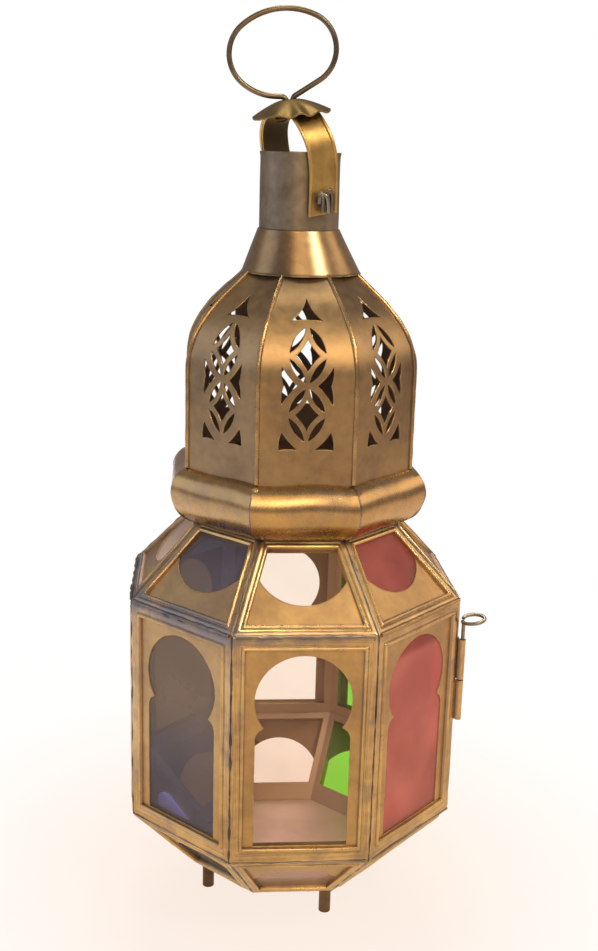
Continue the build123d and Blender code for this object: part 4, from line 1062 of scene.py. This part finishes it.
lines = []
for rod, joined, places, thick, thin, seed in SOLDER:
    lines += [rod(joined, k, thick, thin, seed + k) for k in places]
settle(weave("solder", np.stack(lines), loop=False), "lantern", "brass_frame", solder_grey)
post = np.array([sill, eave]) - (0.35 * MM, 0)
posts = [along_corner(post, k, 0.62, 0.12, 50 + k) for k in fixed_corners]
settle(weave("post_joints", np.stack(posts), loop=False), "lantern", "brass_frame", joint_grey)
beads = [along_side(eave - (0.2 * MM, 0), k, 0.95, 0.7, 150 + k) for k in bead_sides]
settle(weave("eave_beads", np.stack(beads), loop=False), "lantern", "brass_frame", gold_brass)

# %% [markdown]
# ## Knotted ties
# The strap hangs on two stout steel wires. Each goes through the neck and is bent over outside in fat
# loops, by hand, so no rule gives their shape. A loop is one cubic curve: two middle control points pull
# it up, and its ends point down. The same strands serve both ends of the pivot.

# %% Ties
def cubic(controls, count=ROD_POINTS):
    """Points of a cubic curve: sum of control points, in mm, times (1, 3, 3, 1) t^k (1 - t)^(3 - k)."""
    t = np.linspace(0, 1, count)[:, None]
    a, b, c, d = (np.array(p) * MM for p in controls)
    return a * (1 - t) ** 3 + 3 * b * t * (1 - t) ** 2 + 3 * c * t * t * (1 - t) + d * t**3


TIE_THICK, TIE_THIN = 0.82 * MM, 0.74 * MM
strands = [
    cubic([(11.8, 0, 0.4), (14, 0, 0.4), (16, 0, 0.4), (17.9, 0, 0.4)]),
    cubic([(17.5, -2.5, -1.4), (18.2, -3.4, 3.6), (18.5, -0.6, 3.8), (17.6, -1.3, -4.3)]),
    cubic([(17.5, 0.4, -1.0), (18.4, 0.2, 5.6), (18.6, 2.6, 5.2), (17.6, 2.5, -4.5)]),
    cubic([(18.0, -1.9, 1.4), (19.8, -0.6, 3.0), (19.4, 0.4, -1.4), (17.9, 0.9, -4.6)]),
]
pivot_y = np.array([-bail_x[1], bail_x[0], 0])
knots = []
for end in (1, -1):
    for number, strand in enumerate(strands):
        level_place = end * (strand[:, :1] * bail_x + strand[:, 1:2] * pivot_y)
        place = pivot + level_place + strand[:, 2:] * UP
        across = bail_x if number else pivot_y
        knots.append(lumpy(place, across, TIE_THICK, TIE_THIN, 130 + number))
settle(weave("ties", np.stack(knots), loop=False), "lantern", "dark_wire", steel_wire, "bail_ties")

# %% [markdown]
# ## Hinge pin
# One steel wire: a stem in the hinge tubes, a bend to the front, and an oval loop that lies almost level
# and ends on top of the bend. The solid's upright eye is simpler, but the photograph shows this one. The
# loop keeps to the front of the line that the wide open door reaches.

# %% Pin
LOOP_LONG, LOOP_WIDE, LOOP_HEIGHT, LOOP_TILT = 4.0 * MM, 1.9 * MM, 121.7 * MM, 0.95 * MM
LOOP_CLEAR, LOOP_DIP = 0.25 * MM, 1.1 * MM
STEM_TOP = 117.2 * MM
PIN_THICK, PIN_THIN = 0.74 * MM, 0.70 * MM

stem_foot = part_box("hinge_pin")[0][2]
stem_x, stem_y = joint["door_swing"]["pos_m"][:2]
open_door = math.radians(90 - joint["door_swing"]["range_deg"][1])
long_way, wide_way = np.column_stack([directions(open_door), np.zeros(2)])
middle = LOOP_LONG * long_way - (LOOP_WIDE + LOOP_CLEAR) * wide_way
turn = np.radians(np.linspace(195, 540, 50))[:, None]
eye = middle + LOOP_LONG * np.cos(turn) * long_way + LOOP_WIDE * np.sin(turn) * wide_way
dip = LOOP_DIP * np.linspace(1, 0, len(turn))[:, None] ** 3
rise = LOOP_HEIGHT + LOOP_TILT * (np.sin(turn) + np.cos(turn) / 2) - dip
eye = eye + rise * UP
stem = np.column_stack([np.zeros((20, 2)), np.linspace(stem_foot, STEM_TOP, 20)])
onward = (eye[1] - eye[0]) / np.linalg.norm(eye[1] - eye[0])
bend = cubic([stem[-1] / MM, stem[-1] / MM + (0, 0, 2.0), eye[0] / MM - 1.3 * onward, eye[0] / MM], 14)
pin = np.concatenate([stem, bend[1:], eye[1:]])
pin_wire = lumpy(pin + (stem_x, stem_y, 0), (pin - middle) * (1, 1, 0), PIN_THICK, PIN_THIN, 160)
settle(weave("pin", pin_wire[None], loop=False), "hinge_pin", "dark_wire", steel_wire, "hinge_pin")
